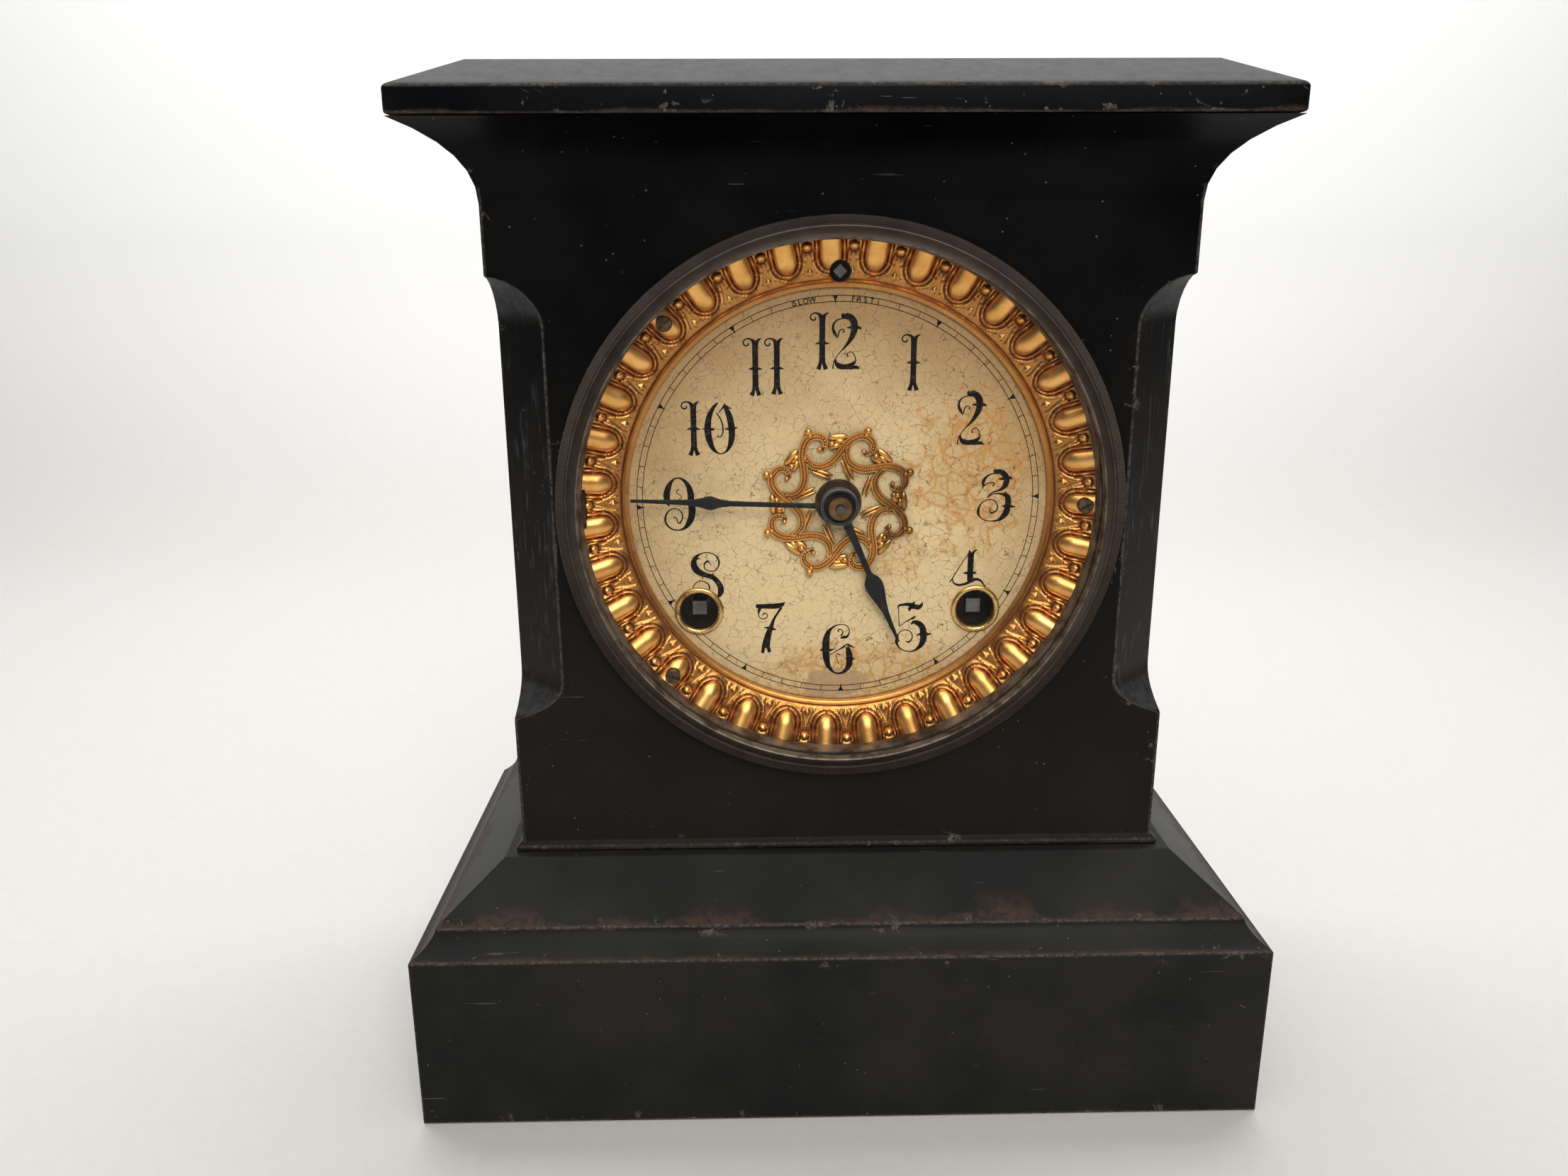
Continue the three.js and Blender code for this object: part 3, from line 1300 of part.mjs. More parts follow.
function hammer() {
  const [x, z] = hammerSpot;
  const gongLeft = gongSpot[0] - gongRadiusAt(gongTurns) - gongWireRadius;
  const headRight = gongLeft - hammerGap;
  const headLeft = headRight - hammerHeadLength;
  const headZ = gongDrop;
  const geometry = new THREE.CylinderGeometry(hammerHeadRadius, hammerHeadRadius, hammerHeadLength, 12);
  geometry.rotateZ(Math.PI / 2);
  geometry.translate((headLeft + headRight) / 2, gongY, headZ);
  const arbor = rod(slimArbor, frontPlateDepth, gongY + 1.2, x, z);
  const wireEnd = [headLeft + 3, gongY, headZ];
  const stem = wire([[x, gongY, z], [(x + wireEnd[0]) / 2 - 2, gongY, (z + headZ) / 2], wireEnd], 1, 6);
  const [tailX, tailZ] = stepFrom(hammerSpot, 1, (bearingTo(hammerSpot, pinWheelSpot) * 180) / Math.PI);
  const reach = Math.hypot(pinWheelSpot[0] - x, pinWheelSpot[1] - z) - strikePinCircle - strikePinRadius - 0.6;
  const [ux, uz] = [tailX - x, tailZ - z];
  const tail = sheet([
    [x - uz, z + ux], [x + uz, z - ux],
    [x + reach * ux + 0.5 * uz, z + reach * uz - 0.5 * ux],
    [x + reach * ux - 0.5 * uz, z + reach * uz + 0.5 * ux],
  ], pinWheelFront + wheelThickness + 0.4, pinWheelFront + wheelThickness + 1.6);
  return joined(arbor, stem, toSolid(geometry), tail);
}

// Assembly
place(caseFrame, "base_plinth", basePlinth(), enamel);
place(caseFrame, "case_body", caseBody(), enamel);
place(caseFrame, "top_cap", topCap(), enamel);
tieBoltSpots.forEach((spot, k) => place(caseFrame, `case_tie_bolt_${k + 1}`, tieBolt(spot), bareIron));
place(dialFrame, "back_cover", backCover(), tinPlate);
coverScrewSpots.forEach((x, k) => {
  const z = coverScrewHeight - dialHeight;
  const seat = coverBack + clearance;
  const screw = joined(rod(screwRadius, coverFront - lugDepth + 3, seat + 0.2, x, z),
    rod(screwHeadRadius, seat, seat + screwHeadHeight, x, z, 12));
  place(dialFrame, `back_cover_screw_${k + 1}`, screw, steel);
});
place(dialFrame, "back_door", backDoor(), tinPlate);
const doorPinHalf = doorKnuckleLength / 2 + clearance + doorEyeLength;
place(dialFrame, "back_door_hinge_pin",
  upright(doorPinRadius, openingZ - doorPinHalf, openingZ + doorPinHalf, doorHingeX, doorHingeY), steel);

place(dialFrame, "bezel_ring", bezelRing(), darkBrass);
place(dialFrame, "bezel_glass", bezelGlass(), clearGlass);
place(dialFrame, "bezel_hinge_leaf", bezelHingeLeaf(), darkBrass);
place(dialFrame, "bezel_hinge_pin",
  upright(hingePinRadius, -hingePinLength / 2, hingePinLength / 2, -hingeX, -hingeForward), steel);
place(dialFrame, "bezel_catch", box(catchX, catchX + catchThickness, -1.7, catchReach,
  -catchWidth / 2, catchWidth / 2), darkBrass);

place(dialFrame, "dial_surround", dialSurround(), gilt);
dialScrewSpots.forEach((spot, k) => place(dialFrame, `dial_screw_${k + 1}`, dialScrew(spot), steel));
place(dialFrame, "dial_plate", dialPlate(), dialPaper);
place(dialFrame, "dial_centre_ornament", dialOrnament(), gilt);
place(dialFrame, "winding_grommet_right", grommet(windingX), brass);
place(dialFrame, "winding_grommet_left", grommet(-windingX), brass);
place(dialFrame, "minute_hand", minuteHand(), bluedSteel);
place(dialFrame, "hour_hand", hourHand(), bluedSteel);
place(dialFrame, "hand_washer", handWasher(), brass);

place(dialFrame, "front_plate", frontPlate(), brass);
place(dialFrame, "back_plate", backPlate(), brass);
postSpots.forEach((spot, k) => place(dialFrame, `movement_screw_${k + 1}`, movementScrew(spot), steel));
place(dialFrame, "time_great_wheel", greatWheel(timeSpot, secondSpot), brass);
place(dialFrame, "time_winding_arbor", windingArbor(timeSpot), steel);
place(dialFrame, "time_click", click(timeSpot, 60), steel);
place(dialFrame, "time_mainspring", mainspring(timeSpot, lowerPillar), bluedSteel);
place(dialFrame, "time_second_wheel", secondWheel(secondSpot, timeSpot, centreSpot, secondModule), brass);
place(dialFrame, "centre_wheel", centreWheel(), brass);
place(dialFrame, "centre_arbor", centreArbor(), steel);
place(dialFrame, "time_third_wheel", thirdWheel(), brass);
place(dialFrame, "escape_wheel", escapeWheel(), brass);
place(dialFrame, "minute_wheel", minuteWheel(), brass);
place(dialFrame, "hour_wheel", hourWheel(), brass);
place(dialFrame, "strike_great_wheel", greatWheel(strikeSpot, strikeSecondSpot), brass);
place(dialFrame, "strike_winding_arbor", windingArbor(strikeSpot), steel);
place(dialFrame, "strike_click", click(strikeSpot, 0), steel);
place(dialFrame, "strike_mainspring", mainspring(strikeSpot, [-lowerPillar[0], lowerPillar[1]]), bluedSteel);
place(dialFrame, "strike_second_wheel",
  secondWheel(strikeSecondSpot, strikeSpot, pinWheelSpot, strikeSecondModule), brass);
place(dialFrame, "pin_wheel", pinWheel(), brass);
place(dialFrame, "warning_wheel", warningWheel(), brass);
place(dialFrame, "fly", fly(), brass);
place(dialFrame, "verge", verge(), steel);
place(dialFrame, "pendulum_rod", pendulumRod(), steel);
place(dialFrame, "pendulum_bob", pendulumBob(), brass);
place(dialFrame, "suspension_cock", suspensionCock(), brass);
place(dialFrame, "regulator_arbor", regulatorArbor(), steel);
place(dialFrame, "regulator_block", regulatorBlock(), brass);
place(dialFrame, "hammer", hammer(), steel);
place(dialFrame, "gong_coil", gongCoil(), bluedSteel);
place(dialFrame, "gong_base", gongBase(), bareIron);

export default clock;
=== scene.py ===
# %% [markdown]
# A black cast-iron mantel clock, dressed for its portrait. The solids come from the packed model and
# stay the fixed frame of everything here: we only add the roundings, ornaments, printing and finishes
# that make iron look like iron. The units in Blender are metres, but a clockmaker thinks in
# millimetres, so one small factor is kept for the change.

# %% Load the packed clock
import json
from math import atan2, cos, degrees, exp, hypot, pi, radians, sin

import bmesh
import bpy
from mathutils import Matrix, Vector


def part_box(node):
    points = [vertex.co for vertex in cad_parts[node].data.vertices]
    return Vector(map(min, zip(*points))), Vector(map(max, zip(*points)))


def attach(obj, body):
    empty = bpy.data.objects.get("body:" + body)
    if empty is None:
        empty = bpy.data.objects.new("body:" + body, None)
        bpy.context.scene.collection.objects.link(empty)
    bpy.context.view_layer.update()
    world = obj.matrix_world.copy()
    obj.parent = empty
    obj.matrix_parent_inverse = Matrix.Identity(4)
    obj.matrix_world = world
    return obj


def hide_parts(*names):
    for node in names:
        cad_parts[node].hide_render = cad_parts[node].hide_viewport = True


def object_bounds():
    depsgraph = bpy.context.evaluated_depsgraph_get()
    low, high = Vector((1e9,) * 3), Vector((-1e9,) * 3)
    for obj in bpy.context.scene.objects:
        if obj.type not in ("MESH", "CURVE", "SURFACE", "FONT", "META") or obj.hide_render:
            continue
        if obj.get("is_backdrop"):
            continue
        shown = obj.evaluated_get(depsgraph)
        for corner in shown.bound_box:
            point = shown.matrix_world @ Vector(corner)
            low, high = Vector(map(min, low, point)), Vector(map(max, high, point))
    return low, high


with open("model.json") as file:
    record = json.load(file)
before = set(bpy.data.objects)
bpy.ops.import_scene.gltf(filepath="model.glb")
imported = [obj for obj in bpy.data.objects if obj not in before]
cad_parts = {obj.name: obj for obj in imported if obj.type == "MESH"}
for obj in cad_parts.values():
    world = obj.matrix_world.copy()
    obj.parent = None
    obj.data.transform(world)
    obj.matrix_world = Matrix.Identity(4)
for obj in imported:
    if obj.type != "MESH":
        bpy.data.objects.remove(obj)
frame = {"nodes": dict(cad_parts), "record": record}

mm = 0.001
nodes = frame["nodes"]
cad_box = [list(corner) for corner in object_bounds()]
print("clock of", len(nodes), "nodes, box in mm", [[round(v / mm, 1) for v in corner] for corner in cad_box])

# %% [markdown]
# The camera stands where the photographer stood: a little above the dial, a third of a metre away,
# with a wide phone lens. A camera in Blender looks along its own -Z axis with +Y up, so its matrix is
# written from three directions (right, up, backwards) and a place. We could turn it with Euler angles,
# but three directions say plainly where the lens looks.

# %% Camera at the photograph's viewing angle
photo_width = 2212
focal_pixels = 1688.64
sensor = 36
stand = Vector((-20.73, -351.97, 238.2)) * mm
yaw, pitch, roll = 0.01708, -0.27429, -0.00468
forward = Vector((sin(yaw) * cos(pitch), cos(yaw) * cos(pitch), sin(pitch)))
level_right = Vector((cos(yaw), -sin(yaw), 0))
level_up = level_right.cross(forward)
right = cos(roll) * level_right + sin(roll) * level_up
up = cos(roll) * level_up - sin(roll) * level_right

bpy.context.scene.view_settings.view_transform = "Standard"
camera = bpy.data.objects.new("photo_camera", bpy.data.cameras.new("photo_camera"))
camera.data.sensor_width = sensor
camera.data.lens = sensor * focal_pixels / photo_width
camera.data.clip_start = 0.01
turn = Matrix((right, up, -forward)).transposed().to_4x4()
camera.matrix_world = Matrix.Translation(stand) @ turn
bpy.context.scene.collection.objects.link(camera)
bpy.context.scene.camera = camera
print("lens", round(camera.data.lens, 2), "mm")

# %% [markdown]
# Shader maths reads best as ordinary sums. The class below wraps one output socket of a node, and its
# operators add Math nodes, so `1 - mask * 0.5` in Python becomes the nodes that work it out for each
# point of the surface. Every other node is made by one method that sets the node up first and then
# fills or links its sockets.

# %% Sockets that can be added and multiplied
def sum_of(operation, reflected=False):
    """A method that adds one Math node, with the socket as its first term, or its second where reflected."""
    def method(self, other):
        return self.math(operation, *((other, self) if reflected else (self, other)))
    return method


class Tone:
    """One output socket of a material's nodes, with Python's arithmetic."""

    def __init__(self, socket):
        self.socket = socket
        self.tree = socket.id_data

    def node(self, kind, settings=None, sockets=None, out=0):
        """A new node: its settings come first, then the values or links of its sockets."""
        made = self.tree.nodes.new("ShaderNode" + kind)
        for key, value in (settings or {}).items():
            setattr(made, key, value)
        for key, value in (sockets or {}).items():
            if isinstance(value, Tone):
                self.tree.links.new(value.socket, made.inputs[key])
            else:
                made.inputs[key].default_value = value
        return Tone(made.outputs[out])

    def math(self, operation, *terms):
        """One Math node of these terms."""
        return self.node("Math", {"operation": operation}, dict(enumerate(terms)))

    __add__, __radd__ = sum_of("ADD"), sum_of("ADD", True)
    __sub__, __rsub__ = sum_of("SUBTRACT"), sum_of("SUBTRACT", True)
    __mul__, __rmul__ = sum_of("MULTIPLY"), sum_of("MULTIPLY", True)
    __truediv__, __rtruediv__ = sum_of("DIVIDE"), sum_of("DIVIDE", True)
    __pow__ = sum_of("POWER")
    least, most = sum_of("MINIMUM"), sum_of("MAXIMUM")

    def __abs__(self):
        return self.math("ABSOLUTE", self)

    def step(self, start, end):
        """0 below start and 1 above end, with a soft change between."""
        return self.node("MapRange", {"interpolation_type": "SMOOTHSTEP"}, {0: self, 1: start, 2: end})

    def mix(self, low, high):
        """The colour low where this is 0 and high where it is 1."""
        colours = {key: (*c, 1) if isinstance(c, tuple) else c for key, c in ((6, low), (7, high))}
        return self.node("Mix", {"data_type": "RGBA"}, {0: self, **colours}, out=2)


print("a socket has", len([name for name in vars(Tone) if name.startswith("__r")]), "reflected operators")

# %% [markdown]
# A finish is one material around one Principled shader. Its patterns read Object coordinates, which on
# these pieces are the clock's own metres, so a scratch or a crack has its real size and stays put when
# the piece moves. Noise makes slow changes and specks, Voronoi makes cells and cracks, and a Bump node
# turns a height into small dents without more faces.

# %% A finish and its patterns
class Finish:
    """A material with one Principled shader, and the patterns that the clock's finishes share."""

    def __init__(self, name, **constants):
        self.material = bpy.data.materials.new(name)
        self.material.use_nodes = True
        tree = self.material.node_tree
        self.shader = next(n for n in tree.nodes if n.type == "BSDF_PRINCIPLED")
        self.start = Tone(self.shader.outputs[0]).node("TexCoord", out="Object")
        for socket, value in constants.items():
            self.shader.inputs[socket.replace("_", " ")].default_value = value

    def spot(self, x=0, y=0, z=0):
        """Object coordinates in millimetres, measured from a point."""
        moved = self.start.node("Mapping", None, {0: self.start, 1: (-x, -y, -z), 3: (1 / mm,) * 3})
        return [moved.node("SeparateXYZ", None, {0: moved}, out=k) for k in range(3)]

    def noise(self, size, detail=3, rough=0.55, warp=0, stretch=(1, 1, 1)):
        """Cloudy noise from 0 to 1 whose blobs are about size millimetres."""
        scaled = self.start.node("Mapping", None, {0: self.start, 3: stretch})
        values = {"Vector": scaled, "Scale": 1 / (size * mm), "Detail": detail, "Roughness": rough}
        return self.start.node("TexNoise", None, {**values, "Distortion": warp})

    def cells(self, size, feature="F1", warp=0.0):
        """Distance in a pattern of cells about size millimetres wide."""
        place, scale = self.start, 1 / (size * mm)
        if warp:
            sway = place.node("TexNoise", None, {"Vector": place, "Scale": scale, "Detail": 3}, out=1)
            sway = sway.node("VectorMath", {"operation": "SCALE"}, {0: sway, "Scale": warp * size * mm})
            place = place.node("VectorMath", {"operation": "ADD"}, {0: place, 1: sway})
        return place.node("TexVoronoi", {"feature": feature}, {"Vector": place, "Scale": scale})

    def set(self, **links):
        """Links what changes over the surface to the shader."""
        for socket, value in links.items():
            self.shader.id_data.links.new(value.socket, self.shader.inputs[socket.replace("_", " ")])
        return self

    def bump(self, height, depth, strength=1.0):
        """Dents of depth millimetres where height goes from 0 to 1."""
        dents = height.node("Bump", None, {"Height": height, "Distance": depth * mm, "Strength": strength})
        return self.set(Normal=dents)


print("finishes read", len(nodes), "nodes' own coordinates")

# %% [markdown]
# The case is iron under black baked enamel. On the real clock the black has worn through to brown iron
# along the sharp edges, has chipped beside them, and is peppered with dust specks and fine scratches.
# The wear has to sit on the edges, so each case piece hands over the straight edges it has, and the
# shader takes the distance to the nearest one. Ambient occlusion or pointiness could find edges too,
# but both change with the mesh and this measures real millimetres.

# %% Enamel with worn edges
rust_brown = (0.066, 0.039, 0.029)
iron_dark, iron_pale = (0.026, 0.020, 0.017), (0.105, 0.090, 0.080)
corner_dust, top_dust = (0.060, 0.061, 0.064), (0.056, 0.058, 0.057)
speck_grey = (0.17, 0.165, 0.15)


def enamel(name, gloss, tints, edges, rust, fade=None, corner=None, dusty=None):
    """Black enamel over iron. Each edge is (axis, two places across it, from, to) in millimetres, rust is a
    list of (height where it starts, how far it spreads up), fade is the heights between which the black goes
    from its second tint to its first, corner gives the distance to curved edges, a cut and its ends, and
    above
    the last height lies a paler grey: dust, and a painted reflection of the bright wall."""
    black = Finish(name, Specular_IOR_Level=gloss)
    x, y, z = black.spot()
    near = None
    for axis, a, b, start, end in edges:
        across, beside, along_it = {"x": (y, z, abs(x)), "y": (abs(x), z, y), "z": (abs(x), y, z)}[axis]
        past = (start - along_it).most(along_it - end).most(0)
        gap = ((across - a) ** 2 + (beside - b) ** 2 + past ** 2) ** 0.5
        near = gap if near is None else near.least(gap)
    if corner:
        gap, cut_face, cut_ends = corner(x, y, z)
        near = near.least(gap)
    patch = black.noise(9, 5, 0.65, 0.4)
    fine = black.noise(1.3, 4, 0.7)
    wide = black.noise(28, 3, 0.6)
    line = (1 - near.step(0.2, 0.75)) * (0.25 + 0.6 * patch.step(0.35, 0.65))
    rubbed = 1 - (near / (0.3 + 2.4 * patch.step(0.56, 0.8) + 0.4 * (fine - 0.5))).step(0.5, 1.1)
    chips = black.noise(8, 4, 0.7, 0.8).step(0.625, 0.64) * (1 - near.step(1.5, 3.5))
    worn = line.most(rubbed * 0.8).most(chips)
    red = None
    for height, spread in rust:
        rise = z - height
        band = rise.step(-0.3, 0.1) * (1 - (rise / (0.5 + spread * wide.step(0.36, 0.72))).step(0.2, 1.1))
        red = band if red is None else red.most(band)
    red = (red * (0.2 + 0.8 * black.noise(2.2, 5, 0.8).step(0.36, 0.6))).least(1)
    speck = (1 - black.cells(3.6).step(0.05, 0.09)) * black.noise(16, 3, 0.6).step(0.46, 0.62)
    scratch = black.noise(1.1, 2, 0.5, 0, (0.05, 1, 1)).step(0.715, 0.74) * wide.step(0.46, 0.62)
    sheen = black.noise(45, 4, 0.6)
    light = sheen.step(0.35, 0.7)
    if fade:
        light = 0.25 * light + 0.75 * (1 - (z - fade[0]) / (fade[1] - fade[0])).most(0).least(1)
    colour = light.mix(*tints)
    colour = (red * 0.85).mix(colour, rust_brown)
    colour = worn.mix(colour, fine.step(0.35, 0.65).mix(iron_dark, iron_pale))
    if corner:
        rubs = black.noise(1.3, 4, 0.65, 0, (1, 1, 0.12)).step(0.52, 0.7)
        rubs = rubs * black.noise(15, 3).step(0.42, 0.62)
        dust = cut_ends * (0.35 + 0.65 * black.noise(3, 4, 0.7).step(0.35, 0.65))
        colour = (rubs * 0.7 * cut_face).most(dust * 0.55).mix(colour, corner_dust)
    # Above that height the black turns a paler grey: partly dust, and partly a painted reflection of the
    # bright wall on the upward slope.
    if dusty:
        film = z.step(dusty, dusty + 0.8) * (0.45 + 0.55 * black.noise(4, 5, 0.75).step(0.3, 0.7))
        colour = (film * 0.75).mix(colour, top_dust)
    colour = (speck * 0.6).most(scratch * 0.4).mix(colour, speck_grey)
    rough = 0.27 + 0.12 * sheen + 0.2 * worn.most(red) + 0.2 * speck + 0.06 * fine
    black.set(Base_Color=colour, Roughness=rough)
    black.bump(0.5 * patch + 0.2 * fine - worn * 0.5 - chips * 0.5, 0.12, 0.35)
    print(name, "is worn along", len(edges), "edges")
    return black.material


print("enamel takes", enamel.__code__.co_argcount, "settings")

# %% [markdown]
# Every piece ends the same way: its bmesh is moved to its place and becomes a mesh object at the origin,
# with smooth shading, crisp edges where two faces meet at more than a given angle, one material, and a
# ride on the clock body that carries it. One helper keeps those steps in order.

# %% From bmesh to a finished piece
def finish_piece(bm, name, body, material, place, crease=35, stands_for=(), slot=None, even=False):
    """Makes a bmesh a piece that rides on a body. even gives large flat faces their own flat shading."""
    bmesh.ops.transform(bm, matrix=place, verts=bm.verts)
    mesh = bpy.data.meshes.new(name)
    bm.to_mesh(mesh)
    bm.free()
    mesh.shade_smooth()
    mesh.set_sharp_from_angle(angle=radians(crease))
    piece = bpy.data.objects.new(name, mesh)
    bpy.context.scene.collection.objects.link(piece)
    mesh.materials.append(material)
    if even:
        piece.modifiers.new("even_normals", "WEIGHTED_NORMAL").keep_sharp = True
    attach(piece, body)
    if stands_for:
        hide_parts(*stands_for)
    print(f"{name}: {len(mesh.polygons)} faces on {body}")
    return piece


def span(node):
    """A CAD node's lowest and highest corner in millimetres."""
    low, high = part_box(node)
    return low / mm, high / mm


to_metres = Matrix.Scale(mm, 4)
print("the body's solid is", round(span("case_body")[1].x * 2, 1), "mm wide")

# %% [markdown]
# The base and the top are stacks of rectangles, like a turned moulding that goes round a square plan.
# We start from one flat rectangle and extrude it upwards again and again, each time setting the size
# of the new top. A boolean of boxes would give the same outline, but extruding keeps clean quads that
# a bevel can round.

# %% Stack a moulding from rectangles
def stacked(levels):
    """A closed block of rectangles, each (height, half width, front, back)."""
    bm = bmesh.new()
    bmesh.ops.create_grid(bm, x_segments=1, y_segments=1, size=1)
    bm.faces.ensure_lookup_table()
    face = bm.faces[0]
    was = Matrix()
    for k, (height, half, front, back) in enumerate(levels):
        if k:
            rim = bmesh.ops.extrude_face_region(bm, geom=[face])["geom"]
            if k > 1:
                bmesh.ops.delete(bm, geom=[face], context="FACES_ONLY")
            face = next(item for item in rim if isinstance(item, bmesh.types.BMFace))
        shape = (Matrix.Translation((0, (front + back) / 2, height))
                 @ Matrix.Diagonal((half, (back - front) / 2, 1, 1)))
        bmesh.ops.transform(bm, matrix=shape @ was.inverted(), verts=face.verts)
        was = shape
    bmesh.ops.recalc_face_normals(bm, faces=bm.faces)
    return bm


def round_edges(bm, width, sharper_than=20, segments=3, where=None):
    """Rounds the edges whose faces turn by more than an angle."""
    edges = [e for e in bm.edges if len(e.link_faces) == 2 and degrees(e.calc_face_angle()) > sharper_than]
    if where:
        edges = [e for e in edges if where((e.verts[0].co + e.verts[1].co) / 2)]
    bmesh.ops.bevel(bm, geom=edges, offset=width, affect="EDGES", segments=segments, profile=0.5, material=-1)
    return len(edges)


low, high = span("top_cap")
slab_height, roof_run = 6.5, 16
slab_top = low.z + slab_height
roof = stacked([(low.z, high.x, low.y, high.y), (slab_top, high.x, low.y, high.y),
                (high.z, high.x - roof_run, low.y + roof_run, high.y)])
print("top rounds", round_edges(roof, 0.8), "edges")
top_black = enamel("enamel_top", 0.08, ((0.0008, 0.0012, 0.0018), (0.0030, 0.0034, 0.0040)), [
    ("x", low.y, slab_top, 0, high.x), ("x", low.y, low.z, 0, high.x), ("y", high.x, slab_top, low.y, high.y),
    ("y", high.x, low.z, low.y, high.y), ("z", high.x, low.y, low.z, slab_top),
    ("x", low.y + roof_run, high.z, 0, high.x - roof_run)], [(low.z, 1.3)], dusty=slab_top + 0.2)
finish_piece(roof, "top_slab", "case", top_black, to_metres, 25, ["top_cap"], "case_iron", True)

# %% [markdown]
# The base is the same kind of stack: an upright face, a shallow cove cut back into the iron, a thin
# fillet and a long slope up to the body. The cove needs a few more rectangles so that it reads as a
# curve. A cast base is a shell, so the stack starts at the ceiling of its hollow, comes down the inside
# of the walls and turns up the outside. The clock stands on the flat foot of those walls.

# %% Base moulding
low, high = span("base_plinth")
face_top, cove_top, fillet_top = 51.3, 57.2, 58.2
wall, cove_in, cove_depth, slope_in = 5.0, 6.2, 0.55, 23.2
ceiling, ledge = high.z - wall, face_top - wall
levels = [(height, high.x - inset - wall, low.y + inset + wall, high.y - wall)
          for height, inset in ((ceiling, slope_in), (ledge, slope_in), (ledge, 0), (0, 0))]
outside = [(0, 0), (face_top, 0)]
for k in range(1, 9):
    t = k / 8
    sag = cove_depth * 4 * t * (1 - t)
    outside.append((face_top + (cove_top - face_top) * t - sag, cove_in * t + sag))
outside += [(fillet_top, cove_in), (high.z, slope_in)]
levels += [(height, high.x - inset, low.y + inset, high.y) for height, inset in outside]
base = stacked(levels)
sharp_foot, sharp_back = 10, 1
print("base rounds", round_edges(base, 0.35, 24, where=lambda p: p.z > sharp_foot
                                 and p.y < high.y - sharp_back), "edges")
cove_x, cove_y = high.x - cove_in, low.y + cove_in
base_black = enamel("enamel_base", 0.05, ((0.0135, 0.0137, 0.0137), (0.0225, 0.0220, 0.0195)), [
    ("x", low.y, face_top, 0, high.x), ("y", high.x, face_top, low.y, high.y),
    ("x", cove_y, fillet_top, 0, cove_x), ("y", cove_x, fillet_top, cove_y, high.y),
    ("z", high.x, low.y, 0, face_top), ("x", low.y, 0, 0, high.x), ("y", high.x, 0, low.y, high.y)],
    [(fillet_top, 5.5), (face_top, 0.8)])
finish_piece(base, "base_moulding", "case", base_black, to_metres, 25, ["base_plinth"], "case_iron", True)

# %% [markdown]
# The body is a complicated casting: stopped corner cuts, a cavetto under the top, the dial opening and
# a hollow behind. Its solid already has the right shape, so we take a copy, merge its loose triangles
# into one skin, dissolve the flat ones into large faces and round the sharp edges, as the enamel does
# on the real iron.

# %% A softened copy of a solid
def softened(node, width, sharper_than, segments, where):
    """A copy of a CAD node as one skin in millimetres, with its sharp edges rounded."""
    bm = bmesh.new()
    bm.from_mesh(nodes[node].data)
    bmesh.ops.scale(bm, vec=(1 / mm, 1 / mm, 1 / mm), verts=bm.verts)
    bmesh.ops.remove_doubles(bm, verts=bm.verts, dist=0.001)
    bmesh.ops.dissolve_limit(bm, angle_limit=radians(1), verts=bm.verts, edges=bm.edges)
    print(node, "rounds", round_edges(bm, width, sharper_than, segments, where), "edges")
    return bm


body_front, body_half = -36.25, 91.5
dial_height, opening_reach, rounded_depth = 171.1, 80, 30
cut_foot, foot_curve, cut_head, head_curve = 111.45, 12, 219.5, 12.7
least_cut, full_cut = 0.4, 13.7
bead_height, bead_out, ledge_height = 72.9, 1.6, 71.4
body = softened("case_body", 0.45, 28, 2, lambda p: p.y < body_front + rounded_depth
                and hypot(p.x, p.z - dial_height) > opening_reach)


def cut_corner(x, y, z):
    """Distance to the edges of a stopped corner cut, and masks of its face and of its two ends."""
    foot = 1 - (1 - ((z - cut_foot) / foot_curve).most(0).least(1)) ** 2.7
    head = (1 - ((z - cut_head) / head_curve).most(0).least(1) ** 1.7).most(0) ** 0.59
    share = foot.least(head)
    cut = least_cut + full_cut * share
    inward, back = body_half - abs(x), y - body_front
    gap = ((inward - cut) ** 2 + back ** 2).least(inward ** 2 + (back - cut) ** 2) ** 0.5
    face = (1 - (inward + back - cut).step(0.3, 0.9)) * share.step(0.1, 0.3)
    return gap, face, face * (1 - share.step(0.9, 1.0))


body_black = enamel("enamel_body", 0.05, ((0.0006, 0.0009, 0.0018), (0.0160, 0.0143, 0.0115)), [
    ("x", body_front - bead_out, bead_height, 0, body_half + bead_out)],
    [(ledge_height, 1.2)], (85, 255), cut_corner)
finish_piece(body, "body_casting", "case", body_black, to_metres, 30, ["case_body"], "case_iron", True)

# %% [markdown]
# Everything round the dial is easier to model flat on the bench: X to the right, Y up and Z out of the
# dial towards us, in millimetres. One matrix then stands the finished piece up on the dial's face. It
# is read from the dial's own solid, so nothing is fitted by eye.

# %% The dial as a workbench
low, high = span("dial_plate")
dial_centre = Vector((0, low.y, (low.z + high.z) / 2))
on_dial = to_metres @ Matrix.Translation(dial_centre) @ Matrix.Rotation(radians(90), 4, "X")


def turned(profile, steps=96):
    """A closed turned ring or dome from a profile of (radius, height) points."""
    bm = bmesh.new()
    verts = [bm.verts.new((radius, 0, height)) for radius, height in profile]
    edges = [bm.edges.new((a, b)) for a, b in zip(verts, verts[1:] + verts[:1])]
    bmesh.ops.spin(bm, geom=verts + edges, cent=(0, 0, 0), axis=(0, 0, 1), angle=2 * pi, steps=steps,
                   use_merge=True)
    bmesh.ops.remove_doubles(bm, verts=bm.verts, dist=0.0005)
    bmesh.ops.dissolve_degenerate(bm, edges=bm.edges, dist=0.0002)
    bmesh.ops.recalc_face_normals(bm, faces=bm.faces)
    return bm


def add_copy(target, source, matrix):
    """Adds a turned or moved copy of one bmesh to another."""
    mesh = bpy.data.meshes.new("copy")
    source.to_mesh(mesh)
    mesh.transform(matrix)
    target.from_mesh(mesh)
    bpy.data.meshes.remove(mesh)


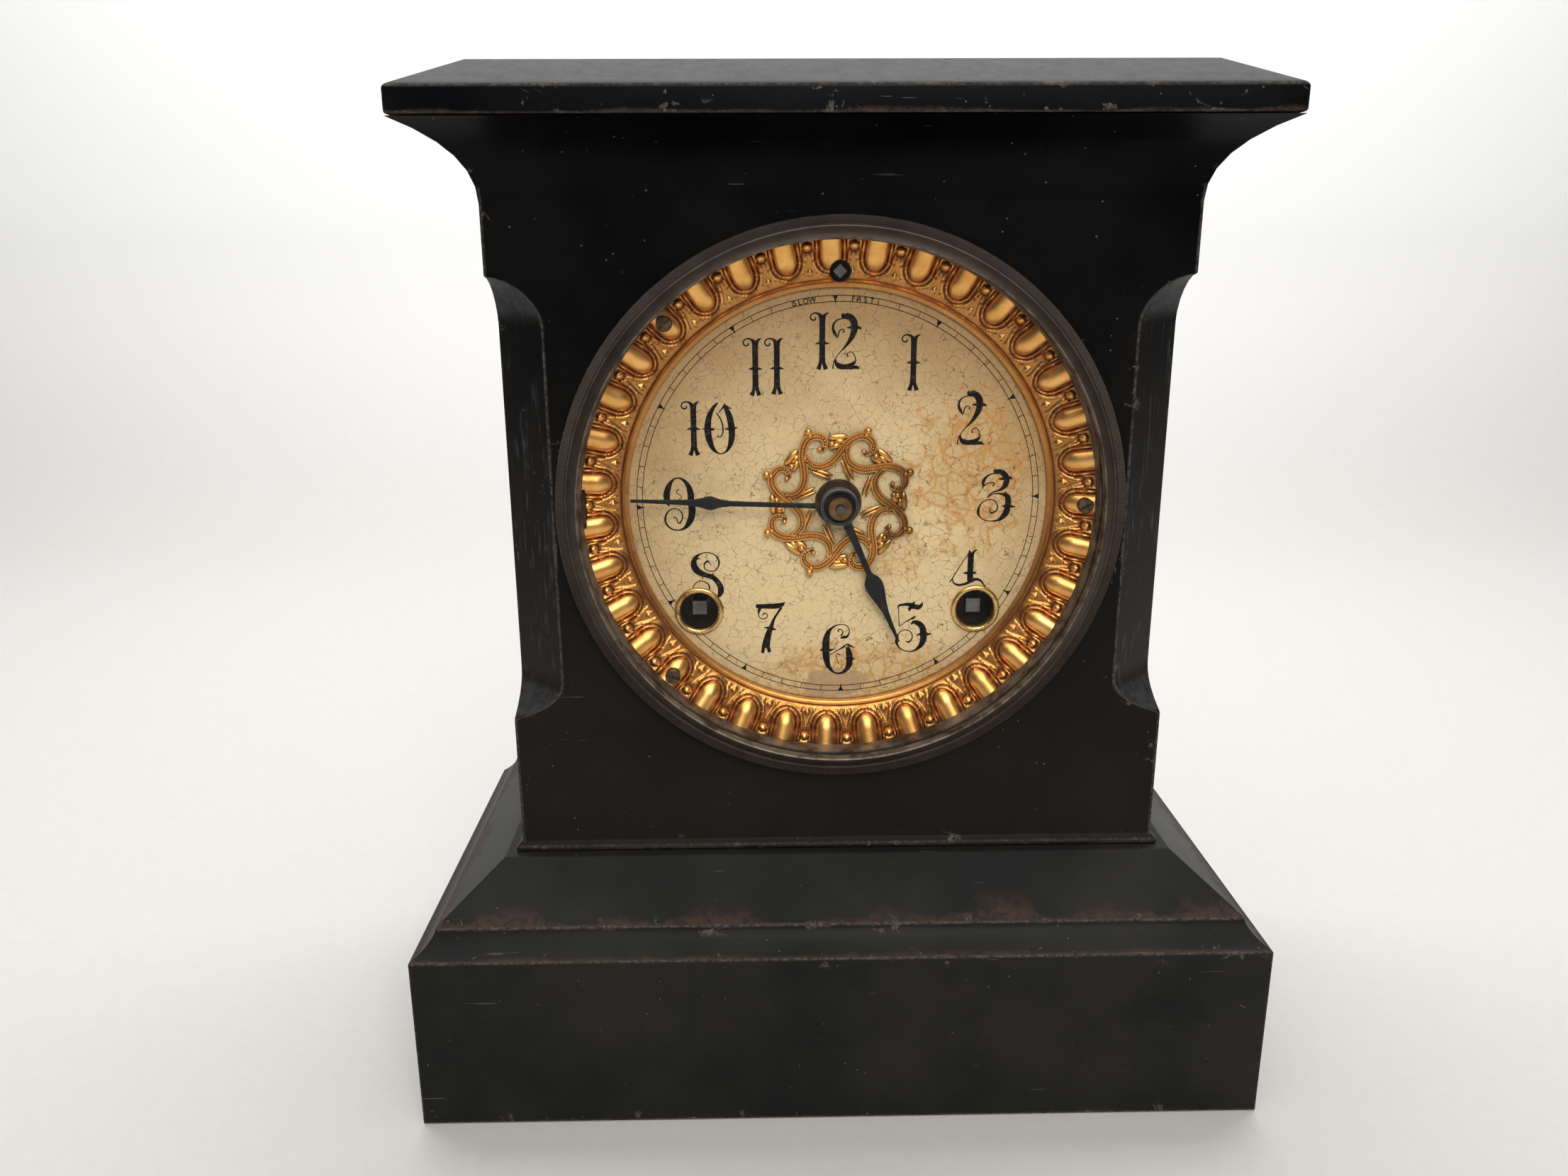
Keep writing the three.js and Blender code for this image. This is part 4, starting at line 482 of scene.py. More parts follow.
def round_dial(finish):
    """How far a point lies to the right of the dial's centre, above it, and away from it, in millimetres."""
    x, _, z = finish.spot(0, dial_centre.y, dial_centre.z)
    return x, z, (x * x + z * z) ** 0.5


print("dial centre in mm", [round(v, 2) for v in dial_centre])

# %% [markdown]
# The bezel is a spun brass ring that has gone dark brown. A band of fine radial milling runs round its
# outer edge, a groove and a ridge follow, and the inner wall is rubbed paler. The milling is a second,
# thin ring turned in twice as many steps as it has teeth, with every other step pushed down. The shader
# finds the same teeth from the angle round the dial and darkens the grooves between them.

# %% Bezel ring
bezel_brown = Finish("bezel_brown", Metallic=0.85)
x, z, radius = round_dial(bezel_brown)
teeth, tooth_height = 900, 0.16
tooth = x.math("ARCTAN2", z, x) * teeth
tooth = 0.5 - 0.5 * tooth.math("COSINE", tooth)
milled = radius.step(73.7, 73.8)
cloud = bezel_brown.noise(6, 5, 0.65)
grain = bezel_brown.noise(0.8, 3)
rubbed = (1 - radius.step(70.2, 70.6)) * cloud.step(0.35, 0.6)
edge_line = radius.step(75.75, 75.9).most((1 - abs(radius - 73.2).step(0.1, 0.3)) * 0.5)
edge_line = edge_line * (0.2 + 0.25 * cloud.step(0.4, 0.6))
brown = cloud.step(0.2, 0.85).mix((0.058, 0.043, 0.034), (0.094, 0.070, 0.055))
brown = (milled * tooth * 0.7).mix(brown, (0.012, 0.010, 0.009))
brown = rubbed.most(edge_line).mix(brown, (0.24, 0.22, 0.19))
bezel_brown.set(Base_Color=brown, Roughness=0.46 + 0.1 * cloud + 0.1 * grain)
bezel_brown.bump(cloud * 0.3 + 0.7 * grain, 0.03, 0.4)
low, high = span("bezel_ring")
front, foot = dial_centre.y - low.y, dial_centre.y - high.y
rim_depth = 5.7
seat = front - rim_depth
glass_back = dial_centre.y - span("bezel_glass")[1].y - 0.3
inner, outer = 70, high.x
rim = [(outer, seat), (outer, front - 2.9), (outer - 0.2, front - 2.5), (outer - 1.2, front - 2.3),
       (outer - 2.3, front - 2.15), (outer - 2.5, front - 2.35), (outer - 2.8, front - 2.3),
       (outer - 3.1, front - 2.0), (outer - 3.7, front - 1.35), (outer - 4.4, front - 0.7),
       (outer - 5.0, front - 0.25), (inner + 0.5, front), (inner + 0.15, front - 0.2),
       (inner, front - 0.7), (inner, glass_back + 2.1), (inner + 1.3, glass_back + 2.1),
       (inner + 1.3, glass_back), (inner, glass_back), (inner, foot), (inner + 1.9, foot),
       (inner + 1.9, seat), (inner + 3.05, seat), (inner + 3.1, seat)]
bezel = turned(rim, 192)
milling = turned([(outer - 0.15, front - 2.8), (outer - 0.15, front - 2.42), (outer - 1.2, front - 2.18),
                  (outer - 2.2, front - 2.02), (outer - 2.2, front - 2.5)], 2 * teeth)
for vert in milling.verts:
    if round(atan2(vert.co.y, vert.co.x) * teeth / pi) % 2:
        vert.co.z -= tooth_height
add_copy(bezel, milling, Matrix())
print("bezel is milled with", teeth, "teeth")

# %% [markdown]
# The hinge barrel sits in a pocket behind the left of the ring, and the ring's heel is cleared beside it
# so that the door can swing. The points of the back face there are pushed forward to make that room.

# %% Hinge pocket
barrel_half, barrel_room = 5.2, 3.05
heel_half, heel_room = 17.5, 0.75
pocket_from = inner + 3.08
for vert in bezel.verts:
    aside = abs(vert.co.y)
    if vert.co.x < 0 and vert.co.xy.length > pocket_from and aside < heel_half:
        room = barrel_room if aside < barrel_half else heel_room
        vert.co.z = max(vert.co.z, seat + room)
finish_piece(bezel, "bezel_rim", "bezel_door", bezel_brown.material, on_dial, 30, ["bezel_ring"],
             "dark_brass")

# %% [markdown]
# The glass is a shallow dome held in the bezel. Window glass at this thickness is nearly invisible:
# what we see is a faint film of dust and a weak shine. A Principled shader with a low, uneven Alpha
# gives that and keeps the dial bright, where real refraction would cost many more samples.

# %% Glass dome
clear_glass = Finish("clear_glass", Roughness=0.06, IOR=1.5)
film = clear_glass.noise(14, 5, 0.6)
clear_glass.set(Base_Color=film.mix((0.80, 0.84, 0.84), (0.95, 0.95, 0.93)), Alpha=0.002 + 0.005 * film)
low, high = span("bezel_glass")
rim_back = dial_centre.y - high.y
glass_radius, glass_thick, rings = 71, 1.2, 16
rise = (high.y - low.y) - glass_thick
under = [(glass_radius * k / rings, rim_back + rise * (1 - (k / rings) ** 2)) for k in range(rings + 1)]
over = [(r, h + glass_thick) for r, h in reversed(under)]
glass = turned(under + over, 128)
finish_piece(glass, "glass_dome", "bezel_door", clear_glass.material, on_dial, 40, ["bezel_glass"], "glass")

# %% [markdown]
# Gilt is thin gold on stamped brass: orange-gold where it is rubbed, and brown in the hollows, partly
# tarnish where polish never reaches and partly painted shade. Each gilt piece carries an attribute called
# relief, from 0 in the hollows to 1 on the crests, written when its shape is made. The shader only has to
# follow it.

# %% Gilt that darkens in its hollows
gilt = Finish("worn_gilt", Metallic=1.0)
x, z, radius = round_dial(gilt)
relief = gilt.start.node("Attribute", {"attribute_name": "relief"}, out="Fac")
tarnish = gilt.noise(7, 5, 0.65, 0.3)
grit = gilt.noise(0.5, 3, 0.6)
uneven = relief + 0.3 * (tarnish - 0.5) + 0.3 * (grit - 0.5)
gold = tarnish.step(0.3, 0.7).mix((0.76, 0.36, 0.085), (0.93, 0.52, 0.16))
colour = uneven.step(0.2, 0.8).mix((0.42, 0.17, 0.04), gold)
# The hollows turn near black: tarnish where polish never reaches, and painted shade.
deep = 1 - uneven.step(-0.1, 0.33)
centre = 1 - (radius * radius).step(500, 600)
patina = (0.04 * x - 0.35 + 1.6 * (tarnish - 0.5)).step(0.0, 0.4) * centre
colour = (deep * 0.85).most(patina * 0.7).mix(colour, (0.075, 0.032, 0.012))
gilt.set(Base_Color=colour, Roughness=0.26 + 0.2 * deep + 0.14 * grit)
gilt.bump(grit + 0.6 * tarnish, 0.05, 0.5)


def relief_layer(bm):
    """A number for each vertex, which becomes the attribute that the gilt reads."""
    return bm.verts.layers.float.new("relief")


print("gilt reads the attribute relief")

# %% [markdown]
# The ring round the dial is stamped with thirty-five eggs, each in a double border, with a bead and a
# leaf between. It was pressed from one sheet, and we make it the same way: one flat cell of a grid is
# pressed to shape by moving its points up, copied round the circle and merged. The height of a point
# is a sum of soft steps: how far it lies inside the egg, near a border line, or on the bead and leaf.

# %% Press one egg of the surround
eggs, egg_phase = 35, 8.0
inner_radius, outer_radius = 58.0, 72.0
columns, rows = 42, 48
sheet_low, sheet_rise, sunk_by = 1.4, 4.3, 0.35
cell_angle = 2 * pi / eggs


def soft(value, start, end):
    """0 below start and 1 above end, with a soft change between."""
    t = min(1, max(0, (value - start) / (end - start)))
    return t * t * (3 - 2 * t)


def bump_at(value, middle, width):
    """1 at the middle, falling away on both sides over a width."""
    return exp(-((value - middle) / width) ** 2)


def pressed(side, r):
    """Height of the stamping above its sheet, and how bright its gilt is (bare crests; tarnish and painted
    shade in grooves), sideways from an egg's middle.
    """
    below = max(0, 66.2 - r)
    egg = hypot(side / 2.85, below / 3.8)
    dome = 1.8 * max(0, 1 - egg * egg) ** 0.5
    arch = hypot(side, 0.85 * below)
    ends = soft(r, 60.0, 60.8)
    rib = ends * max(0.75 * bump_at(arch, 3.65, 0.33), 0.45 * bump_at(arch, 4.6, 0.2))
    middle = r * cell_angle / 2 - abs(side)
    ball_at = hypot(middle, r - 68.6) / 1.2
    bead = 1.2 * max(0, 1 - ball_at ** 2) ** 0.5
    flare = 0.5 + 1.5 * soft(67 - r, 0, 6.2)
    panel = soft(r, 60.7, 61.3) * (1 - soft(r, 66.2, 67))
    dart = 0.5 * bump_at(middle, flare, 0.22) * panel
    diamond = 0.7 * max(0, 1 - middle / 1.3 - abs(r - 62.0) / 1.5)
    lip = 0.55 * bump_at(r, 59.5, 0.3) + 0.8 * soft(r, 71.1, 71.6)
    groove = max(bump_at(egg, 1.1, 0.07), bump_at(arch, 4.15, 0.16) * ends, bump_at(ball_at, 1.15, 0.13),
                 0.7 * bump_at(r, 60.1, 0.2))
    height = max(dome, rib, bead, dart, diamond, lip)
    return height - 0.2 * groove, 0.34 + 0.5 * height - 0.5 * groove


cell = bmesh.new()
crest_of = relief_layer(cell)
bmesh.ops.create_grid(cell, x_segments=columns, y_segments=rows, size=0.5)
for vert in cell.verts:
    turn_by = vert.co.x * cell_angle
    r = inner_radius + (vert.co.y + 0.5) * (outer_radius - inner_radius)
    up_by, bare = pressed(turn_by * r, r)
    sheet = sheet_low + sheet_rise * (r - inner_radius) / (outer_radius - inner_radius)
    vert.co = (r * sin(turn_by), r * cos(turn_by), sheet + up_by - sunk_by)
    vert[crest_of] = bare
print("one egg cell has", len(cell.faces), "faces")

# %% [markdown]
# Thirty-four turned copies finish the circle. The regulator's hole is opened by removing the faces
# inside it and rounding the rest to its edge, a straight notch leaves room for the hinge, and the open
# rims are pushed back to the dial, as the turned-over edge of the real stamping is. A flat back, which no
# one sees, closes the mesh.

# %% Repeat the eggs and finish the rims
def points_of(geom):
    """The vertices among what a bmesh operator returns."""
    return [item for item in geom if isinstance(item, bmesh.types.BMVert)]


start_angle = -radians(egg_phase)
bmesh.ops.rotate(cell, cent=(0, 0, 0), matrix=Matrix.Rotation(start_angle, 3, "Z"), verts=cell.verts)
first = cell.verts[:] + cell.edges[:] + cell.faces[:]
for k in range(1, eggs):
    copied = points_of(bmesh.ops.duplicate(cell, geom=first)["geom"])
    bmesh.ops.rotate(cell, cent=(0, 0, 0), matrix=Matrix.Rotation(-k * cell_angle, 3, "Z"), verts=copied)
bmesh.ops.remove_doubles(cell, verts=cell.verts, dist=0.02)
hole, hole_radius, hole_edge = Vector((0, 62.0)), 2.9, 0.6
notch_at, notch_half = -69.1, 5.5
sheet_back = 0.32
gone = [f for f in cell.faces if (f.calc_center_median().xy - hole).length < hole_radius]
bmesh.ops.delete(cell, geom=gone, context="FACES")
for vert in cell.verts:
    away = vert.co.xy - hole
    if vert.is_boundary and away.length < hole_radius + hole_edge:
        vert.co.xy = hole + away.normalized() * hole_radius
    if vert.co.x < notch_at and abs(vert.co.y) < notch_half:
        vert.co.x = notch_at
rims = [e for e in cell.edges if e.is_boundary]
for vert in points_of(bmesh.ops.extrude_edge_only(cell, edges=rims)["geom"]):
    vert.co.z = sheet_back
    vert[crest_of] = 0.1
back_rims = [e for e in cell.edges if e.is_boundary]
bmesh.ops.triangle_fill(cell, edges=back_rims, use_beauty=True, normal=(0, 0, -1))
bmesh.ops.recalc_face_normals(cell, faces=cell.faces)
finish_piece(cell, "egg_surround", "case", gilt.material, on_dial, 60, ["dial_surround"], "gilt")

# %% [markdown]
# The dial is printed paper under old varnish. A century of sun has turned it cream-tan, and the varnish
# has split into fine cells with brown lines between. Voronoi's distance-to-edge is just such a net; a
# little noise on its coordinates takes away the straight sides. Rust has bled in at the right, and a
# scrap of paper is torn away above six o'clock.

# %% Aged dial paper
paper = Finish("dial_paper", Specular_IOR_Level=0.35)
x, z, radius = round_dial(paper)
paper_radius = 58
cloud = paper.noise(16, 5, 0.6)
small = paper.noise(2.2, 4, 0.6)
net = (1 - paper.cells(2.7, "DISTANCE_TO_EDGE", 1.15).step(0.0, 0.034)) * paper.noise(1.6, 2).step(0.3, 0.46)
hairs = 1 - paper.cells(1.5, "DISTANCE_TO_EDGE", 1.0).step(0.0, 0.045)
age = paper.noise(4, 3, 0.6).step(0.4, 0.58) * (0.75 + 0.25 * (0.5 + 0.02 * x).step(0.0, 1.0))
cracks = (net * (0.3 + 0.7 * age)).most(hairs * 0.5 * paper.noise(6, 2).step(0.5, 0.64))
# Painted shade: the paper darkens towards the top as a painted shadow of the bezel, and towards its rim as
# browned paper and painted shade together.
rim = (radius / paper_radius) ** 3
light = (0.85 - 0.0062 * z - 0.6 * rim + 0.55 * (cloud - 0.5)).step(0.0, 1.0)
cream = light.mix((0.42, 0.255, 0.10), (0.78, 0.60, 0.325))


def blot(across_at, up_at, wide, tall, ragged):
    """A mask that fades away from a point, with a ragged edge."""
    far = (((x - across_at) / wide) ** 2 + ((z - up_at) / tall) ** 2) ** 0.5
    return 1 - (far + ragged * (paper.noise(5, 5, 0.65, 0.6) - 0.5)).step(0.7, 1.15)


rust = blot(38, 9, 17, 22, 2.6).most(blot(17, -16, 8, 7, 2.4) * 0.7).most(blot(6, -50, 30, 9, 2.8) * 0.9)
veins = (1 - paper.cells(4.6, "DISTANCE_TO_EDGE", 0.9).step(0.0, 0.14)) * rust
stain = (rust * 0.28 + veins * 0.55).least(0.8)
torn = blot(-1, -53.2, 10.5, 4.6, 1.5).step(0.35, 0.6)
colour = stain.mix(cream, (0.54, 0.25, 0.045))
colour = torn.mix(colour, small.mix((0.42, 0.25, 0.115), (0.56, 0.38, 0.20)))
colour = (cracks * (1 - 0.6 * torn)).least(0.85).mix(colour, (0.145, 0.075, 0.028))
paper.set(Base_Color=colour, Roughness=0.5 + 0.16 * small + 0.1 * torn)
paper.bump(0.4 * small - cracks - 0.7 * torn, 0.08, 0.5)


def dress(node, material):
    """Gives a CAD node a finish in place of the one that it was packed with."""
    nodes[node].data.materials.clear()
    nodes[node].data.materials.append(material)


dress("dial_plate", paper.material)
print("dial paper on", len(nodes["dial_plate"].data.polygons), "triangles")

# %% [markdown]
# Printing ink is black, a little worn, and split by the cracks below it. The print lies on the paper as
# a skin a few hundredths of a millimetre thick: thin enough to look printed, and real enough to stay
# crisp in any view, where a painted texture would blur.

# %% Ink and strokes
ink = Finish("dial_ink", Specular_IOR_Level=0.08)
thin = (1 - ink.cells(3.4, "DISTANCE_TO_EDGE", 0.55).step(0.0, 0.05)) * 0.5
faded = ink.noise(2.4, 5, 0.7).step(0.6, 0.74)
shade = thin.most(faded * 0.8)
ink.set(Base_Color=shade.mix((0.0045, 0.0035, 0.003), (0.075, 0.05, 0.035)), Roughness=0.5 + 0.2 * faded)
paper_turn = radians(1.2)
print_height = 0.06


def meshed(shape):
    """The mesh that a curve or a text makes."""
    holder = bpy.data.objects.new("shape", shape)
    bpy.context.scene.collection.objects.link(holder)
    mesh = bpy.data.meshes.new_from_object(holder.evaluated_get(bpy.context.evaluated_depsgraph_get()))
    bpy.data.objects.remove(holder)
    return mesh


def drawn(strokes, flat=0.02, sides=0, smooth=6):
    """Pen strokes of (x, y, half width) points as one bmesh, flattened to a skin."""
    pen = bpy.data.curves.new("pen", "CURVE")
    pen.dimensions = "3D"
    pen.bevel_depth = 1
    pen.bevel_resolution = sides
    pen.use_fill_caps = True
    for stroke in strokes:
        spline = pen.splines.new("BEZIER")
        spline.resolution_u = smooth
        spline.bezier_points.add(len(stroke) - 1)
        for point, (px, py, wide) in zip(spline.bezier_points, stroke):
            point.co = (px, py, 0)
            point.radius = wide
            point.handle_left_type = point.handle_right_type = "AUTO"
    bm = bmesh.new()
    bm.from_mesh(meshed(pen))
    bmesh.ops.scale(bm, vec=(1, 1, flat), verts=bm.verts)
    return bm


print("ink skin stands", print_height, "mm off the paper")

# %% [markdown]
# The minute track is two thin circles with a tick for every minute, and every fifth minute has a small
# triangle that points inwards. A tick is drawn once and turned round the dial. The words that tell which
# way to turn the regulator follow the circle at the top, letter by letter.

# %% Minute track
track = bmesh.new()
line, skin = 0.09, 0.015
track_in, track_out = 54.2, 55.8
for ring in (track_out, track_in):
    circle = [(ring + line, -skin), (ring + line, skin), (ring - line, skin), (ring - line, -skin)]
    add_copy(track, turned(circle, 180), Matrix())
tick = drawn([[(0, track_in, line), (0, track_out, line)]])
pointer = drawn([[(0, 53.6, 0.04), (0, 54.6, 0.2), (0, 55.3, 0.5), (0, track_out, 0.85)]])
letter_size, letter_foot = 2.0, 54.35
for minute in range(60):
    add_copy(track, tick if minute % 5 else pointer, Matrix.Rotation(-radians(6 * minute), 4, "Z"))
for name, angle in zip("SLOWFAST", (-11.4, -9.9, -8.3, -6.4, 5.0, 6.6, 8.4, 10.2)):
    words = bpy.data.curves.new("letter", "FONT")
    words.body = name
    words.size = letter_size
    words.offset = 0.03
    words.extrude = skin
    words.align_x = "CENTER"
    mesh = meshed(words)
    mesh.transform(Matrix.Rotation(-radians(angle), 4, "Z") @ Matrix.Translation((0, letter_foot, 0)))
    track.from_mesh(mesh)
    bpy.data.meshes.remove(mesh)
lift = on_dial @ Matrix.Rotation(paper_turn, 4, "Z") @ Matrix.Translation((0, 0, print_height))
finish_piece(track, "minute_track", "case", ink.material, lift, slot="dial_paper")

# %% [markdown]
# The hour figures are pen work: a heavy stem with a split foot and a fishtail top, small spurs at the
# waist, and hair-thin curls. Type of this kind isn't in Blender's font, so each figure is drawn as a
# few strokes whose half width changes from point to point, as a broad nib does. The upright stem is
# shared by the ones, and the two appears twice.

# %% Draw the hour figures
def stem(x, waist=0.0, foot=-7.4):
    """An upright stroke with a fishtail, a curl, waist spurs and a split foot."""
    return [
        [(x, 6.3, 0.82), (x, 2, 0.78), (x, -2, 0.78), (x, foot + 2, 0.84)],
        [(x + 0.15, 5.8, 0.7), (x + 0.5, 6.6, 0.5), (x + 1.1, 7.2, 0.26), (x + 1.8, 7.5, 0.04)],
        [(x - 1.95, waist - 0.05, 0.04), (x - 1.1, waist + 0.05, 0.3), (x, waist + 0.2, 0.55),
         (x + 1.1, waist + 0.05, 0.3), (x + 1.95, waist - 0.1, 0.04)],
        [(x - 0.3, foot + 2.4, 0.5), (x - 0.6, foot + 1.2, 0.48), (x - 1.05, foot, 0.62)],
        [(x + 0.3, foot + 2.4, 0.5), (x + 0.6, foot + 1.2, 0.48), (x + 1.05, foot, 0.62)],
        [(x - 0.15, 5.8, 0.7), (x - 0.5, 6.7, 0.5), (x - 1.3, 7.3, 0.24), (x - 2.3, 7.35, 0.17),
         (x - 3.05, 6.8, 0.18), (x - 3.1, 6.0, 0.2), (x - 2.4, 5.55, 0.2), (x - 1.8, 5.9, 0.2),
         (x - 1.95, 6.4, 0.08)],
    ]


def two(x, y):
    """A figure two with a heavy bowl, a curled head and a flat foot."""
    strokes = [
        [(-0.9, 7.4, 0.1), (-0.9, 6.7, 0.65), (0.5, 6.5, 0.85), (1.75, 5.4, 0.95), (2.1, 3.8, 0.95),
         (1.8, 2.0, 0.8), (0.9, 0.2, 0.55), (-0.3, -1.4, 0.3), (-1.6, -2.8, 0.13), (-2.7, -4.2, 0.12),
         (-3.4, -5.6, 0.13), (-3.6, -7.3, 0.2)],
        [(-0.1, 3.55, 0.05), (1.2, 3.6, 0.4), (2.9, 3.6, 0.45), (3.7, 3.4, 0.3), (4.05, 3.1, 0.05)],
        [(-1.0, 5.95, 0.13), (-2.4, 5.6, 0.17), (-3.4, 4.6, 0.27), (-3.6, 3.2, 0.36), (-3.1, 2.0, 0.45),
         (-2.35, 0.8, 0.08)],
        [(-2.3, 1.2, 0.2), (-1.8, 2.8, 0.14), (-1.1, 3.2, 0.12), (-0.6, 2.75, 0.14), (-0.9, 2.3, 0.24)],
        [(-2.9, -4.6, 0.15), (-2.8, -5.7, 0.4), (-2.0, -6.5, 0.75), (-0.7, -6.75, 0.7), (0.9, -6.5, 0.65),
         (2.1, -5.7, 0.4), (2.55, -5.2, 0.18)],
        [(-1.9, -7.0, 0.4), (0.9, -7.05, 0.4), (2.9, -6.95, 0.48), (3.6, -7.35, 0.08)],
        [(2.6, -5.2, 0.15), (2.2, -3.8, 0.13), (1.5, -2.9, 0.12), (0.7, -2.9, 0.12), (0.2, -3.6, 0.14),
         (0.5, -4.1, 0.25)],
    ]
    return [[(px + x, py + y, wide) for px, py, wide in stroke] for stroke in strokes]


